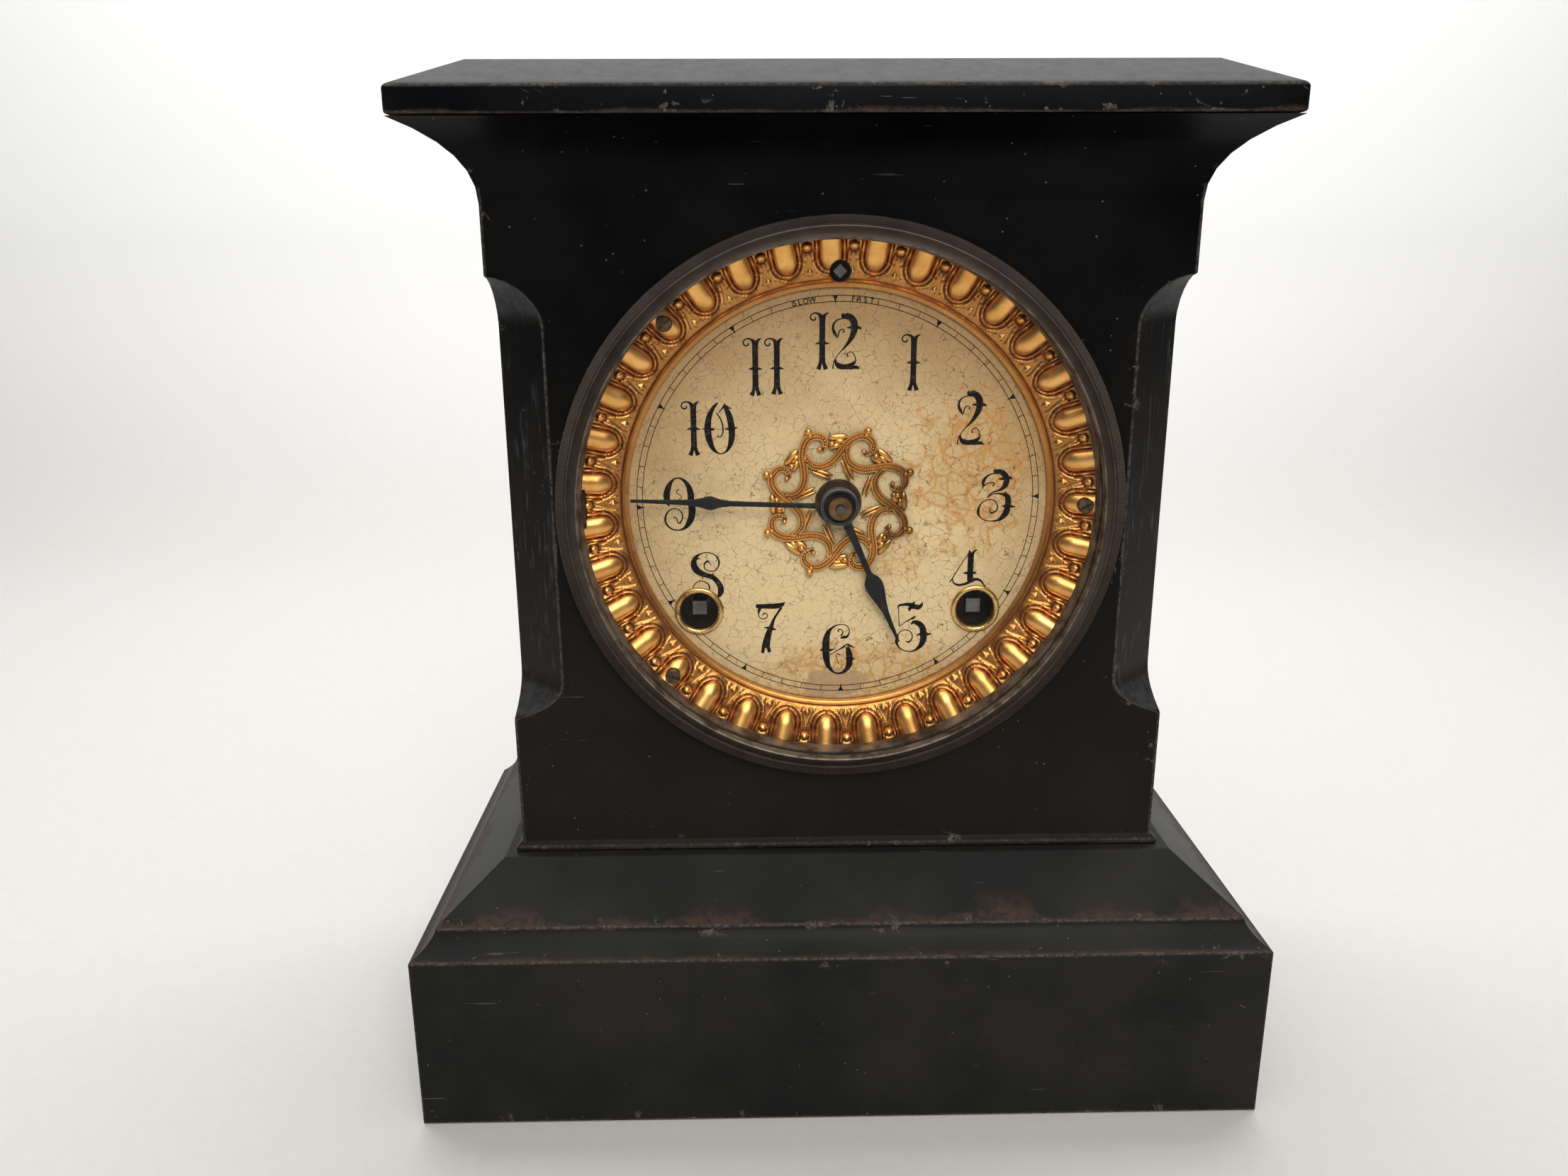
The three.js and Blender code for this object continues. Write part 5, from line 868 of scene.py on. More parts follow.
figures = {
    "12": ((-1.2, 43.8), stem(-3.4, -0.55) + two(3.1, 0)),
    "1": ((19.3, 38.0), stem(0.75)),
    "2": ((36.3, 23.2), two(0, -0.15)),
    "3": ((43.8, 1.5), [
        [(-0.5, 7.4, 0.1), (-0.3, 6.8, 0.65), (1.1, 6.6, 0.7), (2.4, 5.6, 0.85), (2.9, 4.4, 0.85),
         (2.6, 2.9, 0.8), (1.8, 1.9, 0.45), (0.4, 1.2, 0.25), (-1.0, 0.7, 0.16), (-1.9, -0.2, 0.2),
         (-2.2, -0.7, 0.1)],
        [(0.4, 4.6, 0.05), (1.6, 4.6, 0.35), (3.4, 4.9, 0.4), (4.0, 4.8, 0.35), (4.5, 4.6, 0.15)],
        [(-0.3, 6.1, 0.13), (-1.6, 5.9, 0.17), (-2.7, 5.2, 0.3), (-3.4, 4.2, 0.45), (-3.6, 3.2, 0.4),
         (-3.5, 2.0, 0.06)],
        [(-3.3, 2.6, 0.2), (-2.6, 3.2, 0.14), (-1.6, 3.6, 0.12), (-0.7, 3.4, 0.14), (-0.6, 2.8, 0.17),
         (-1.0, 2.6, 0.22)],
        [(-1.9, -0.4, 0.1), (-1.0, 0.2, 0.13), (0.4, 0.45, 0.17), (1.9, 0.3, 0.3), (3.2, -0.3, 0.75),
         (3.6, -1.6, 0.85), (3.5, -3.2, 0.85), (3.2, -4.8, 0.9), (2.2, -6.2, 0.7), (0.9, -7.1, 0.3),
         (-0.8, -7.35, 0.13), (-2.6, -7.1, 0.13), (-4.0, -6.2, 0.17), (-4.6, -5.2, 0.35),
         (-4.6, -4.2, 0.35), (-4.3, -3.0, 0.2), (-3.4, -1.9, 0.14), (-1.8, -1.2, 0.12),
         (-0.2, -1.6, 0.14), (0.6, -2.8, 0.16), (0.6, -4.0, 0.19), (-0.2, -4.8, 0.22), (-1.2, -4.9, 0.22),
         (-1.4, -3.5, 0.08)],
        [(3.0, -0.1, 0.5), (2.8, 0.6, 0.3), (2.9, 1.2, 0.05)],
        [(1.7, -3.1, 0.05), (2.8, -3.1, 0.35), (4.4, -3.1, 0.4), (5.1, -3.3, 0.25), (5.8, -3.2, 0.05)]]),
    "4": ((36.8, -19.5), [
        [(0.8, 4.6, 0.85), (0.8, 1, 0.85), (0.8, -3.6, 0.85)],
        [(0.5, 4.2, 0.55), (0.4, 4.9, 0.3), (0.3, 5.5, 0.05)],
        [(1.2, 4.2, 0.5), (1.8, 5.0, 0.3), (2.7, 5.5, 0.05)],
        [(0.2, 4.4, 0.13), (-1.9, 1.2, 0.13), (-3.9, -2.3, 0.14), (-4.9, -4.0, 0.2)],
        [(-1.2, -1.4, 0.1), (-0.4, -1.3, 0.35), (0.8, -1.4, 0.5), (2.0, -1.3, 0.35), (2.6, -1.6, 0.08)],
        [(-4.2, -3.0, 0.14), (-3.8, -4.2, 0.22), (-2.6, -4.8, 0.35), (-1.2, -4.7, 0.35), (0.2, -4.2, 0.4),
         (1.2, -3.6, 0.6), (2.6, -3.2, 0.4), (3.8, -3.6, 0.3), (4.6, -4.6, 0.2), (5.4, -5.4, 0.15)]]),
    "5": ((21.8, -36.7), [
        [(-4.4, 5.6, 0.12), (-4.3, 6.3, 0.3), (-3.0, 6.7, 0.35), (-1.6, 6.75, 0.5), (-0.3, 6.8, 0.55),
         (0.3, 7.7, 0.05)],
        [(-1.1, 4.7, 0.15), (-1.1, 5.6, 0.5), (0.2, 6.1, 0.7), (1.2, 5.9, 0.75), (2.0, 6.3, 0.55),
         (2.6, 7.5, 0.05)],
        [(-4.3, 5.8, 0.12), (-4.2, 3.0, 0.1), (-4.0, 0.3, 0.12)],
        [(-3.95, 0.2, 0.1), (-2.4, 1.4, 0.12), (-0.8, 2.4, 0.2), (0.1, 2.8, 0.4), (0.6, 3.4, 0.05)],
        [(-0.7, 0.7, 0.1), (0.0, 1.4, 0.5), (1.2, 1.2, 0.75), (2.4, 0.2, 0.85), (2.9, -1.3, 0.95),
         (3.0, -3.2, 0.95), (2.6, -5.0, 0.8), (1.6, -6.3, 0.5), (0.2, -7.2, 0.2), (-1.6, -7.3, 0.15),
         (-3.4, -6.6, 0.16), (-4.4, -5.4, 0.25), (-4.7, -4.2, 0.45), (-4.5, -3.2, 0.4),
         (-4.2, -2.0, 0.16), (-3.4, -1.2, 0.13), (-2.0, -0.9, 0.12), (-0.7, -1.5, 0.14),
         (-0.2, -2.7, 0.16), (-0.5, -3.9, 0.2), (-1.2, -4.5, 0.28), (-2.2, -4.2, 0.06)],
        [(0.9, -2.6, 0.05), (2.0, -2.2, 0.4), (3.6, -2.0, 0.45), (4.5, -2.2, 0.3), (5.3, -1.8, 0.05)]]),
    "6": ((0.0, -43.3), [
        [(0.3, 5.4, 0.25), (0.4, 6.0, 0.14), (1.2, 6.0, 0.12), (1.6, 5.2, 0.15), (1.2, 4.2, 0.25)],
        [(1.0, 3.5, 0.2), (1.8, 3.7, 0.45), (2.8, 3.9, 0.35), (3.3, 4.6, 0.22), (3.5, 5.6, 0.14),
         (3.0, 6.9, 0.12), (1.8, 7.5, 0.12), (0.2, 7.4, 0.17), (-1.4, 6.6, 0.3), (-2.6, 5.0, 0.7),
         (-3.1, 3.0, 1.0), (-3.2, 0.5, 1.05), (-3.1, -2.0, 1.0), (-2.7, -4.2, 0.8), (-1.9, -5.8, 0.5),
         (-0.6, -7.0, 0.25), (1.0, -7.2, 0.3), (2.6, -6.2, 0.6), (3.5, -4.6, 0.9), (3.6, -2.6, 0.95),
         (3.4, -0.8, 0.85), (3.0, 0.8, 0.5)],
        [(-2.0, -1.6, 0.12), (0.2, -0.2, 0.14), (2.0, 0.9, 0.3), (3.2, 1.9, 0.06)],
        [(3.0, 1.5, 0.35), (4.2, 0.9, 0.25), (5.1, 0.6, 0.05)],
        [(-5.0, -0.3, 0.05), (-4.4, 0.0, 0.35), (-3.2, 0.0, 0.45), (-1.8, -0.1, 0.4), (-0.9, 0.1, 0.05)],
        [(2.2, -2.9, 0.05), (3.2, -2.8, 0.35), (4.6, -2.8, 0.35), (5.3, -3.0, 0.05)],
        [(0.8, -1.6, 0.17), (-0.1, -1.4, 0.12), (0.0, -2.8, 0.12), (0.5, -4.4, 0.08)]]),
    "7": ((-19.3, -36.6), [
        [(-3.9, 6.6, 0.5), (-2.4, 6.5, 0.65), (0, 6.5, 0.75), (2.2, 6.6, 0.8), (3.6, 7.0, 0.6),
         (4.4, 7.7, 0.06)],
        [(-2.6, 6.2, 0.5), (-3.0, 5.2, 0.4), (-3.2, 4.1, 0.1)],
        [(-3.1, 4.4, 0.14), (-3.0, 3.4, 0.12), (-2.0, 2.8, 0.12), (-0.9, 3.1, 0.14), (-0.7, 4.0, 0.14),
         (-1.4, 4.4, 0.14), (-2.0, 3.9, 0.2)],
        [(3.4, 6.2, 0.4), (2.4, 4.6, 0.3), (1.3, 2.8, 0.35), (0.5, 0.6, 0.6), (-0.4, -2.0, 0.9),
         (-1.0, -4.6, 1.1), (-1.2, -6.0, 1.2)],
        [(-1.7, 0.1, 0.05), (-0.8, 0.1, 0.3), (0.3, -0.1, 0.45), (1.4, -0.4, 0.3), (1.9, -0.5, 0.05)],
        [(-1.8, -5.6, 0.5), (-2.1, -7.5, 0.45)],
        [(-0.5, -5.6, 0.5), (-0.1, -7.3, 0.5)]]),
    "8": ((-36.9, -20.8), [
        [(1.4, 2.8, 0.08), (0.9, 3.5, 0.12), (0.4, 4.0, 0.3), (-0.4, 3.6, 0.25), (-0.7, 2.8, 0.17),
         (-0.4, 1.8, 0.14), (0.8, 1.2, 0.14), (2.2, 1.3, 0.14), (3.2, 2.4, 0.2), (3.5, 3.8, 0.25),
         (3.0, 5.2, 0.2), (1.8, 6.2, 0.14), (0.2, 6.6, 0.12), (-1.6, 6.2, 0.17), (-3.0, 5.2, 0.5),
         (-3.6, 3.6, 0.85), (-3.2, 2.0, 1.0), (-2.0, 0.8, 0.9), (-0.2, 0.0, 0.7), (1.6, -0.6, 0.7),
         (3.0, -2.0, 0.75), (3.8, -3.6, 0.85), (3.8, -5.0, 0.85), (3.2, -6.4, 0.4)],
        [(-2.9, 4.7, 0.4), (-2.3, 4.9, 0.2), (-1.6, 4.7, 0.05)],
        [(1.4, -0.2, 0.4), (1.7, 0.3, 0.2), (1.9, 0.8, 0.05)],
        [(-1.0, 0.0, 0.4), (-1.2, -0.6, 0.2), (-1.2, -1.3, 0.05)],
        [(0.3, -4.6, 0.15), (0.7, -3.6, 0.2), (0.2, -2.5, 0.18), (-1.0, -1.8, 0.12), (-2.4, -1.8, 0.12),
         (-3.6, -2.8, 0.14), (-4.1, -4.2, 0.12)]]),
    "9": ((-44.0, -0.3), [
        [(-2.9, -0.6, 0.12), (-3.3, 0.6, 0.8), (-3.5, 2.6, 0.95), (-3.0, 4.6, 0.8), (-2.0, 6.4, 0.4),
         (-0.6, 7.3, 0.17), (0.8, 7.0, 0.3), (2.2, 5.6, 0.6), (3.0, 3.6, 0.85), (3.2, 1.0, 0.95),
         (3.4, -1.6, 1.0), (3.2, -3.6, 0.95), (2.4, -5.4, 0.8), (1.2, -6.8, 0.4), (-0.6, -7.4, 0.17),
         (-2.4, -7.0, 0.2), (-3.8, -5.6, 0.27), (-4.1, -4.2, 0.27), (-3.6, -2.6, 0.22),
         (-2.4, -1.5, 0.14), (-1.0, -1.3, 0.12), (0.3, -2.2, 0.14), (0.7, -3.6, 0.17), (0.2, -5.0, 0.22),
         (-0.4, -5.4, 0.2), (-0.8, -4.6, 0.14), (-1.2, -3.8, 0.14), (-1.9, -3.8, 0.2)],
        [(-0.2, 4.2, 0.16), (-0.8, 3.2, 0.1), (0.2, 2.6, 0.1), (0.6, 1.8, 0.1), (-0.2, 1.4, 0.1)]]),
    "10": ((-34.7, 20.5), stem(-4.9, 0.0, -7.2) + [
        [(1.8, 7.1, 0.2), (0.5, 5.7, 0.5), (-0.5, 3.6, 0.72), (-1.0, 1.2, 0.9), (-1.0, -1.0, 0.95),
         (-0.6, -3.2, 0.85), (0.2, -5.2, 0.6), (1.4, -6.5, 0.25), (2.4, -6.8, 0.14), (3.6, -6.4, 0.22),
         (4.6, -5.2, 0.5), (5.3, -3.2, 0.8), (5.5, -0.6, 0.9), (5.2, 2.0, 0.9), (4.6, 4.2, 0.8),
         (3.8, 5.9, 0.5)],
        [(2.0, 4.4, 0.12), (3.0, 5.6, 0.2), (3.6, 6.3, 0.4), (3.7, 7.0, 0.06)],
        [(3.8, 6.2, 0.4), (4.8, 5.7, 0.25), (5.7, 5.5, 0.05)],
        [(-2.6, 0.0, 0.05), (-1.8, 0.1, 0.3), (-1.0, 0, 0.5), (0.3, -0.1, 0.35), (1.0, -0.1, 0.05)],
        [(3.5, -0.1, 0.05), (4.4, 0.0, 0.35), (6.2, 0.2, 0.4), (7.1, 0.3, 0.05)],
        [(1.4, 4.4, 0.15), (2.6, 2.4, 0.19), (3.1, 0.0, 0.2), (2.8, -1.6, 0.16), (2.0, -2.2, 0.1),
         (1.4, -1.8, 0.17)]]),
    "11": ((-20.3, 37.2), stem(-2.3, -0.6, -7.7) + stem(3.5, -0.5, -7.4)),
}
numbers = bmesh.new()
for (cx, cy), strokes in figures.values():
    add_copy(numbers, drawn(strokes), Matrix.Translation((cx, cy, 0)))
lift = on_dial @ Matrix.Translation((0, 0, print_height))
finish_piece(numbers, "hour_figures", "case", ink.material, lift, slot="dial_paper")

# %% [markdown]
# The openwork rosette at the centre is eight S-scrolls laid head to tail. Each scroll starts thin beside
# one eye, swings under it, crosses outwards and curls round the next eye to end in a small ball. On the
# real stamping two fine ribs with a row of beads between run along it. One scroll is drawn with the same
# pen as the figures, but thicker, and turned eight times.

# %% Scroll rosette
scroll = [(-9.5, 13.1, 0.5), (-8.3, 11.0, 0.8), (-6.3, 9.9, 1.0), (-3.9, 10.2, 1.05), (-1.6, 11.7, 1.1),
          (0.1, 13.9, 1.1), (1.8, 16.2, 1.1), (3.8, 17.9, 1.1), (6.2, 18.6, 1.05), (8.3, 17.7, 1.0),
          (9.3, 16.0, 0.9), (8.8, 14.4, 0.75), (7.4, 13.7, 0.6), (6.5, 14.4, 0.5)]


def along(path, gap):
    """Points and sideways directions at even steps along a smooth path."""
    fine = []
    for k in range(len(path) - 1):
        a, b, c, d = (Vector(path[min(max(k + i, 0), len(path) - 1)]) for i in (-1, 0, 1, 2))
        for t in (0, 0.25, 0.5, 0.75):
            fine.append(0.5 * (2 * b + (c - a) * t + (2 * a - 5 * b + 4 * c - d) * t ** 2
                               + (3 * b - 3 * c + d - a) * t ** 3))
    steps, walked = [], 0.0
    for p, q in zip(fine, fine[1:]):
        walked += (q - p).xy.length
        if walked >= gap:
            walked = 0.0
            ahead = (q - p).xy.normalized()
            steps.append((p, Vector((-ahead.y, ahead.x))))
    return steps


def ball(bm, place, size, detail):
    """A round bead."""
    made = bmesh.ops.create_uvsphere(bm, u_segments=detail, v_segments=max(4, detail - 3), radius=1)["verts"]
    shape = Matrix.Translation(place) @ Matrix.Diagonal((size, size, size, 1))
    bmesh.ops.transform(bm, matrix=shape, verts=made)


def tongue(bm, start, end, wide, height, tall):
    """A small leaf: a ball drawn out between two points."""
    a, b = Vector(start), Vector(end)
    made = bmesh.ops.create_uvsphere(bm, u_segments=10, v_segments=7, radius=1)["verts"]
    swing = atan2((b - a).y, (b - a).x)
    shape = (Matrix.Translation(((a.x + b.x) / 2, (a.y + b.y) / 2, height)) @ Matrix.Rotation(swing, 4, "Z")
             @ Matrix.Diagonal(((b - a).length / 2, wide, tall, 1)))
    bmesh.ops.transform(bm, matrix=shape, verts=made)


one = drawn([scroll], 0.25, 3, 7)
bmesh.ops.translate(one, vec=(0, 0, 0.75), verts=one.verts)
walk = along(scroll, 0.5)
for side in (-0.78, 0.78):
    rib = [(*(p.xy + n * p.z * side), 0.3) for p, n in walk[::2]]
    wire = drawn([rib], 1.0, 1, 2)
    bmesh.ops.translate(wire, vec=(0, 0, 1.05), verts=wire.verts)
    add_copy(one, wire, Matrix())
for p, _ in walk[2:-2]:
    ball(one, (p.x, p.y, 1.1), 0.32, 6)
ball(one, (6.6, 14.4, 1.1), 0.7, 10)
for reach, size in ((21.4, 1.15), (20.1, 0.7)):
    ball(one, (reach * sin(radians(21)), reach * cos(radians(21)), 1.2), size, 12)
leaves = [((0.5, 12.0), (3.2, 5.9), 0.5, 0.85), ((1.7, 11.4), (4.3, 6.4), 0.5, 0.75),
          ((-3.5, 17.9), (2.3, 18.5), 1.0, 0.85), ((-3.1, 15.0), (0.3, 16.3), 0.9, 0.8),
          ((-1.6, 17.0), (1.4, 17.2), 0.8, 0.95)]
for start, end, wide, height in leaves:
    tongue(one, start, end, wide, height, 0.7)
ball(one, (-2.2, 16.3, 1.2), 0.95, 10)
rosette = bmesh.new()
for k in range(8):
    add_copy(rosette, one, Matrix.Rotation(-radians(45 * k + 1), 4, "Z"))
tops = max(v.co.z for v in rosette.verts)
bottoms = min(v.co.z for v in rosette.verts)
bmesh.ops.translate(rosette, vec=(0, 0, 0.15 - bottoms), verts=rosette.verts)
crest_of = relief_layer(rosette)
# Low points get low relief, so the gilt darkens them with tarnish and painted shade.
hollow_height, crest_rise = 0.98, 0.42
for vert in rosette.verts:
    vert[crest_of] = (vert.co.z - hollow_height) / crest_rise
finish_piece(rosette, "scroll_rosette", "case", gilt.material, on_dial, 50, ["dial_centre_ornament"], "gilt")
print("rosette stands", round(tops - bottoms, 2), "mm high")

# %% [markdown]
# The hands are cut from thin steel and blackened. Each blade is half an outline that is mirrored: a row
# of points goes out along the hand, is extruded to the centre line and mirrored, and gets its thickness
# from solidify. A small bevel catches the light along the edge as the filed edge of the real hand does.

# %% Hands
black_steel = Finish("black_steel", Metallic=0.6)
wear = black_steel.noise(2.5, 5, 0.7)
grit = black_steel.noise(0.6, 3)
reach = round_dial(black_steel)[2]
# Two pale rings at the collar's rims are painted highlights of its polished edges; the brown ring outside
# them is the hour boss's own worn colour.
bright = (1 - abs(reach - 5.02).step(0.05, 0.13)).most(1 - abs(reach - 4.52).step(0.04, 0.12))
brown = reach.step(5.25, 5.5) * (1 - reach.step(6.5, 6.7)) * (0.6 + 0.4 * wear)
colour = wear.step(0.5, 0.72).mix((0.008, 0.008, 0.010), (0.035, 0.028, 0.023))
colour = brown.mix(colour, (0.052, 0.028, 0.018))
black_steel.set(Base_Color=(bright * 0.8).mix(colour, (0.30, 0.29, 0.28)), Roughness=0.34 + 0.25 * wear)
black_steel.bump(0.5 * wear + 0.5 * grit, 0.04, 0.4)


def hand(stations, bearing, back, thick):
    """A blade from (distance, half width) stations, pointing clockwise from twelve by bearing degrees."""
    bm = bmesh.new()
    verts = [bm.verts.new((wide, reach, 0)) for reach, wide in stations]
    edges = [bm.edges.new(pair) for pair in zip(verts, verts[1:])]
    for vert in points_of(bmesh.ops.extrude_edge_only(bm, edges=edges)["geom"]):
        vert.co.x = 0
    bmesh.ops.mirror(bm, geom=bm.verts[:] + bm.edges[:] + bm.faces[:], axis="X", merge_dist=0.001)
    bmesh.ops.remove_doubles(bm, verts=bm.verts, dist=0.001)
    bmesh.ops.recalc_face_normals(bm, faces=bm.faces)
    if sum(f.normal.z for f in bm.faces) > 0:
        bmesh.ops.reverse_faces(bm, faces=bm.faces)
    bmesh.ops.solidify(bm, geom=bm.faces[:], thickness=thick)
    lift = back + thick - max(v.co.z for v in bm.verts)
    bmesh.ops.translate(bm, vec=(0, 0, lift), verts=bm.verts)
    round_edges(bm, 0.12, 60, 2)
    bmesh.ops.rotate(bm, cent=(0, 0, 0), matrix=Matrix.Rotation(-radians(bearing), 3, "Z"), verts=bm.verts)
    return bm


def height_of(y):
    """Height above the dial of a depth given in the clock's millimetres."""
    return dial_centre.y - y


low, high = span("minute_hand")
boss_front, boss_back = height_of(low.y), height_of(high.y)
blade_thick = 0.8
minute = hand([(4.4, 0.72), (12, 0.66), (24, 0.65), (29.8, 0.73), (32.7, 1.13), (34, 1.6), (35, 1.93),
               (36, 1.78), (37.5, 1.35), (39.8, 0.86), (43.3, 0.72), (51, 0.5), (56.95, 0.4)],
              272, boss_front - 2.2, blade_thick)
collar = turned([(4.45, boss_back), (5.1, boss_back), (5.1, boss_front - 0.15), (4.95, boss_front),
                 (4.6, boss_front), (4.45, boss_front - 0.15)], 64)
add_copy(minute, collar, Matrix())
floor_disc = turned([(0, boss_back), (4.6, boss_back), (4.6, boss_back + 0.9), (0, boss_back + 0.9)], 48)
add_copy(minute, floor_disc, Matrix())
finish_piece(minute, "minute_blade", "minute_work", black_steel.material, on_dial, 30, ["minute_hand"],
             "blued_steel")

low, high = span("hour_hand")
boss_front, boss_back = height_of(low.y), height_of(high.y)
hour = hand([(5.4, 1.28), (12, 1.0), (18, 0.84), (21.6, 0.8), (22.4, 1.15), (23.2, 1.85), (24.2, 2.4),
             (25.5, 2.58), (26.8, 2.45), (28, 2.2), (30.8, 1.46), (33.8, 0.9), (37, 0.68), (43.55, 0.36)],
            156.6, boss_front - 1.5, blade_thick)
cone = turned([(3.6, boss_back), (6.5, boss_back), (6.35, boss_back + 1.6), (5.7, boss_front - 0.2),
               (5.5, boss_front), (3.6, boss_front)], 64)
add_copy(hour, cone, Matrix())
finish_piece(hour, "hour_blade", "hour_work", black_steel.material, on_dial, 30, ["hour_hand"], "blued_steel")

# %% [markdown]
# A brass washer holds the hands: brown with age, with a finely milled edge. The grommets that line the
# winding holes are brass too, polished by keys. Both are turned pieces, and turning in Blender is a
# profile spun through a full circle.

# %% Washer and grommets
old_brass = Finish("old_brass", Metallic=1.0)
reach = round_dial(old_brass)[2]
cloud = old_brass.noise(3, 5, 0.65)
rings = reach.math("SINE", reach * 14) * 0.5 + 0.5
old_brass.set(Base_Color=cloud.step(0.3, 0.7).mix((0.10, 0.055, 0.022), (0.23, 0.135, 0.055)),
              Roughness=0.4 + 0.2 * cloud)
old_brass.bump(0.7 * rings + 0.3 * cloud, 0.03, 0.5)
low, high = span("hand_washer")
top, bottom = height_of(low.y), height_of(high.y)
washer_teeth, tooth_share = 60, 0.95
washer = turned([(1.3, bottom), (3.3, bottom), (3.3, top - 0.2), (3.1, top), (1.3, top)], 2 * washer_teeth)
for vert in washer.verts:
    if vert.co.xy.length > 2 and round(atan2(vert.co.y, vert.co.x) * washer_teeth / pi) % 2:
        vert.co.xy *= tooth_share
finish_piece(washer, "milled_washer", "minute_work", old_brass.material, on_dial, 30, ["hand_washer"],
             "brass")

bright_brass = Finish("bright_brass", Metallic=1.0)
cloud = bright_brass.noise(4, 5, 0.65)
fine = bright_brass.noise(0.5, 3)
dull = (cloud + 0.4 * (fine - 0.5)).step(0.48, 0.7)
bright_brass.set(Base_Color=dull.mix((0.70, 0.46, 0.17), (0.24, 0.13, 0.045)),
                 Roughness=0.2 + 0.25 * dull + 0.1 * fine)
bright_brass.bump(fine, 0.03, 0.3)
for node in ("winding_grommet_left", "winding_grommet_right"):
    low, high = span(node)
    bottom, top = height_of(high.y), height_of(low.y)
    grommet = turned([(5.25, bottom), (5.8, bottom), (5.8, 0.1), (6.75, 0.1), (6.95, 0.3), (6.9, top - 0.4),
                      (6.65, top - 0.1), (6.3, top), (5.8, top - 0.05), (5.5, top - 0.3),
                      (5.25, top - 0.8)], 64)
    middle = (low + high) / 2
    bmesh.ops.translate(grommet, vec=(middle.x, middle.z - dial_centre.z, 0), verts=grommet.verts)
    finish_piece(grommet, node + "_turned", "case", bright_brass.material, on_dial, 40, [node], "brass")

# %% [markdown]
# Three slotted screws hold the dial through the egg ring. A screw head is a disc with a rounded rim; the
# slot is cut by slicing the top with two planes and pushing the strip between them down.

# %% Slotted dial screws
dark_screw = Finish("dark_screw", Metallic=0.9)
rust = dark_screw.noise(1.2, 5, 0.7)
dark_screw.set(Base_Color=rust.step(0.4, 0.65).mix((0.075, 0.052, 0.030), (0.21, 0.145, 0.075)),
               Roughness=0.38 + 0.25 * rust)
dark_screw.bump(rust, 0.05, 0.5)
head_radius, head_height, slot_width, slot_depth = 2.1, 3.2, 0.75, 0.9


def slotted_head(radius, bottom, top, slot, tilt):
    """A screw head with a slot, turned by tilt degrees."""
    bm = turned([(0, bottom), (radius, bottom), (radius, top - 0.2), (radius - 0.2, top), (0, top)], 32)
    for side in (-1, 1):
        bmesh.ops.bisect_plane(bm, geom=bm.verts[:] + bm.edges[:] + bm.faces[:], dist=0.0001,
                               plane_co=(0, side * slot / 2, 0), plane_no=(0, 1, 0))
    strip = [f for f in bm.faces if f.normal.z > 0.5 and abs(f.calc_center_median().y) < slot / 2]
    sunk = points_of(bmesh.ops.extrude_face_region(bm, geom=strip)["geom"])
    bmesh.ops.translate(bm, vec=(0, 0, -slot_depth), verts=sunk)
    bmesh.ops.delete(bm, geom=[f for f in strip if f.is_valid], context="FACES")
    bmesh.ops.recalc_face_normals(bm, faces=bm.faces)
    bmesh.ops.rotate(bm, cent=(0, 0, 0), matrix=Matrix.Rotation(radians(tilt), 3, "Z"), verts=bm.verts)
    return bm


for number, tilt in ((1, 28), (2, -18), (3, 42)):
    low, high = span(f"dial_screw_{number}")
    middle = (low + high) / 2
    top = height_of(low.y)
    head = slotted_head(head_radius, top - head_height, top, slot_width, tilt)
    bmesh.ops.translate(head, vec=(middle.x, middle.z - dial_centre.z, 0), verts=head.verts)
    finish_piece(head, f"dial_screw_head_{number}", "case", dark_screw.material, on_dial, 30,
                 [f"dial_screw_{number}"], "steel")

# %% [markdown]
# Behind the dial is a brass movement with steel arbors. Its solids already have their teeth and holes,
# so they keep their meshes and only get finishes: lacquered brass with faint brush lines, grey steel,
# blue-black springs, dull tin for the back and bare iron for bolts and gong stand.

# %% Finishes for the movement
def brushed(name, dark, light, metal, rough, size, spots):
    """A metal with faint brush lines, cloudy tarnish and a few spots."""
    made = Finish(name, Metallic=metal)
    cloud = made.noise(size, 5, 0.6)
    lines = made.noise(0.35, 2, 0.5, 0, (1, 1, 0.04))
    spot = made.noise(1.6, 5, 0.7).step(spots, spots + 0.05)
    colour = cloud.step(0.3, 0.7).mix(dark, light)
    colour = (spot * 0.6).mix(colour, tuple(0.35 * v for v in dark))
    made.set(Base_Color=colour, Roughness=rough + 0.16 * cloud + 0.08 * lines + 0.2 * spot)
    made.bump(lines * 0.6 + cloud * 0.3, 0.03, 0.35)
    return made.material


slot_finish = {
    "brass": brushed("movement_brass", (0.26, 0.165, 0.058), (0.37, 0.25, 0.095), 1.0, 0.3, 20, 0.66),
    "steel": brushed("grey_steel", (0.11, 0.105, 0.10), (0.22, 0.21, 0.20), 1.0, 0.34, 6, 0.64),
    "blued_steel": brushed("spring_blue", (0.022, 0.024, 0.034), (0.05, 0.055, 0.075), 0.9, 0.3, 8, 0.66),
    "tin": brushed("dull_tin", (0.105, 0.096, 0.080), (0.140, 0.130, 0.110), 0.7, 0.40, 40, 0.63),
    "bare_iron": brushed("bare_iron", (0.03, 0.026, 0.023), (0.07, 0.06, 0.052), 0.5, 0.55, 9, 0.62),
    "dark_brass": bezel_brown.material,
    "gilt": gilt.material,
}
# The front plate is much darker than the other brass: partly dirt, and partly painted shade, so that the
# winding holes look dark inside.
soiled = brushed("soiled_shaded_brass", (0.030, 0.020, 0.010), (0.075, 0.050, 0.024), 0.9, 0.4, 9, 0.66)
dressed = 0
for row in frame["record"]["subparts"]:
    finish_of = slot_finish.get(row["material_slot"])
    if finish_of:
        dress(row["node"], finish_of)
        dressed += 1
dress("front_plate", soiled)
print(dressed, "solids get a finish")

# %% [markdown]
# The gong is a coil of blued spring steel that opens by one pitch each turn. The pen that drew the figures
# draws it too, this time as a round wire along a spiral.

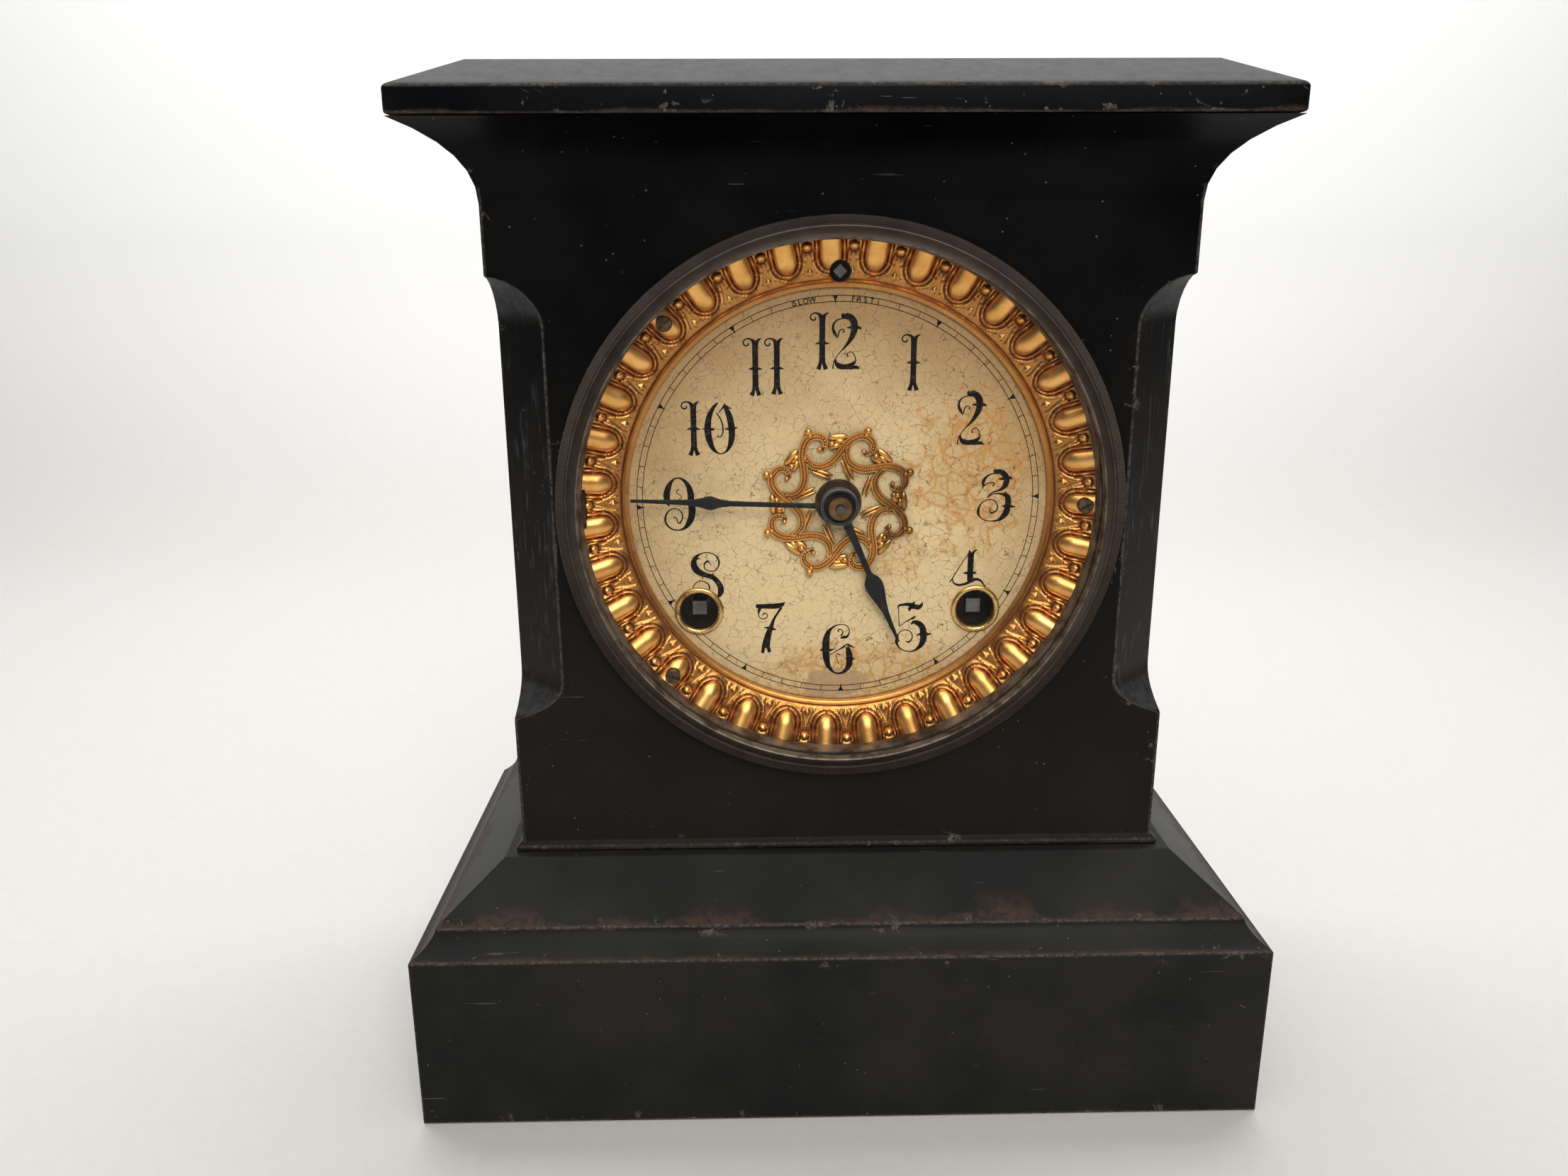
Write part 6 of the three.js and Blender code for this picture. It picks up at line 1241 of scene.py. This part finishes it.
# %% Gong coil
low, high = span("gong_coil")
wire, tight, pitch, turns, bends = (high.y - low.y) / 2, 8.2, 8.5, 3.5, 14
gong_drop = 40
spiral = []
for k in range(round(turns * bends) + 1):
    swing = 2 * pi * k / bends
    reach = tight + pitch * k / bends
    spiral.append((reach * cos(swing), reach * sin(swing), wire))
gong_middle = Vector((0, (low.y + high.y) / 2, dial_centre.z - gong_drop))
in_case = to_metres @ Matrix.Translation(gong_middle) @ Matrix.Rotation(radians(90), 4, "X")
finish_piece(drawn([spiral], 1.0, 3, 4), "gong_spiral", "case", slot_finish["blued_steel"], in_case, 50,
             ["gong_coil"], "blued_steel")

# %% [markdown]
# The round door in the back is thin tin, and thin tin is stiffened with pressed beads. Two half-round
# rings, turned like the rest, stand on its outer face and swing with it.

# %% Pressed beads on the back door
low, high = span("back_door")
knob_height, bead_rise = 2.6, 0.8
door_face = high.y - knob_height
door_middle = Vector((0, door_face, (low.z + high.z) / 2))
on_door = to_metres @ Matrix.Translation(door_middle) @ Matrix.Rotation(radians(-90), 4, "X")
beads = bmesh.new()
for middle, wide in ((45.5, 1.4), (58.2, 1.0)):
    arc = [(middle + wide * cos(a), bead_rise * sin(a)) for a in (pi * k / 8 for k in range(9))]
    add_copy(beads, turned(arc, 128), Matrix())
finish_piece(beads, "door_beads", "rear_door", slot_finish["tin"], on_door, 40, slot="tin")

# %% [markdown]
# A portrait of a black object is a portrait of its reflections. The floor is a pale sweep that runs up
# into a wall, so there is no hard horizon. One broad soft light hangs above, a smaller one stands high in
# front, and a strip brightens the wall. The world adds a little even light so that no hollow is quite
# black.

# %% Floor and light
pale = Finish("pale_floor", Specular_IOR_Level=0.2)
fleck = pale.noise(5, 4, 0.6)
height = pale.spot()[2]
ground = fleck.mix((0.53, 0.515, 0.497), (0.575, 0.56, 0.54))
pale.set(Base_Color=height.step(0, 300).mix(ground, (0.80, 0.80, 0.80)), Roughness=0.6 + 0.1 * fleck)
sweep = bmesh.new()
bend, bend_from, half_wide, below = 0.25, 0.62, 1.8, 0.0004
quarter = [pi / 2 * k / 10 for k in range(11)]
profile = [(-1.6, 0)] + [(bend_from + bend * sin(a), bend - bend * cos(a)) for a in quarter]
profile.append((bend_from + bend, 1.5))
verts = [sweep.verts.new((-half_wide, depth, up_by - below)) for depth, up_by in profile]
edges = [sweep.edges.new(pair) for pair in zip(verts, verts[1:])]
far_side = points_of(bmesh.ops.extrude_edge_only(sweep, edges=edges)["geom"])
bmesh.ops.translate(sweep, vec=(2 * half_wide, 0, 0), verts=far_side)
bmesh.ops.recalc_face_normals(sweep, faces=sweep.faces)
mesh = bpy.data.meshes.new("floor_sweep")
sweep.to_mesh(mesh)
sweep.free()
mesh.shade_smooth()
floor = bpy.data.objects.new("floor_sweep", mesh)
bpy.context.scene.collection.objects.link(floor)
mesh.materials.append(pale.material)
floor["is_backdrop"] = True


def soft_light(name, place, target, size, watts, colour):
    """A rectangular lamp at a place that shines towards a target."""
    lamp = bpy.data.lights.new(name, "AREA")
    lamp.shape = "RECTANGLE"
    lamp.size, lamp.size_y = size
    lamp.energy = watts
    lamp.color = colour
    holder = bpy.data.objects.new(name, lamp)
    aim = (Vector(target) - Vector(place)).to_track_quat("-Z", "Y")
    holder.matrix_world = Matrix.Translation(place) @ aim.to_matrix().to_4x4()
    bpy.context.scene.collection.objects.link(holder)


soft_light("window_above", (0.02, -0.4, 1.2), (0.02, 0, 0.12), (1.4, 1.0), 9, (1.0, 0.985, 0.96))
soft_light("front_high", (0.15, -1.15, 0.85), (0, 0, 0.17), (0.7, 0.5), 9, (1.0, 0.98, 0.95))
soft_light("back_fill", (0, 0.35, 1.25), (0, 0.75, 0.3), (1.6, 0.4), 19, (0.98, 0.99, 1.0))
world = bpy.data.worlds.new("room")
bpy.context.scene.world = world
world.use_nodes = True
room_light = world.node_tree.nodes["Background"].inputs
room_light["Color"].default_value = (0.84, 0.84, 0.84, 1)
room_light["Strength"].default_value = 0.11

# %% [markdown]
# Last, both boxes are printed side by side: nothing that we added should reach past the solids.

# %% Print both boxes
new_box = [list(corner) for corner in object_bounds()]
print("cad box", cad_box, "visual box", new_box)
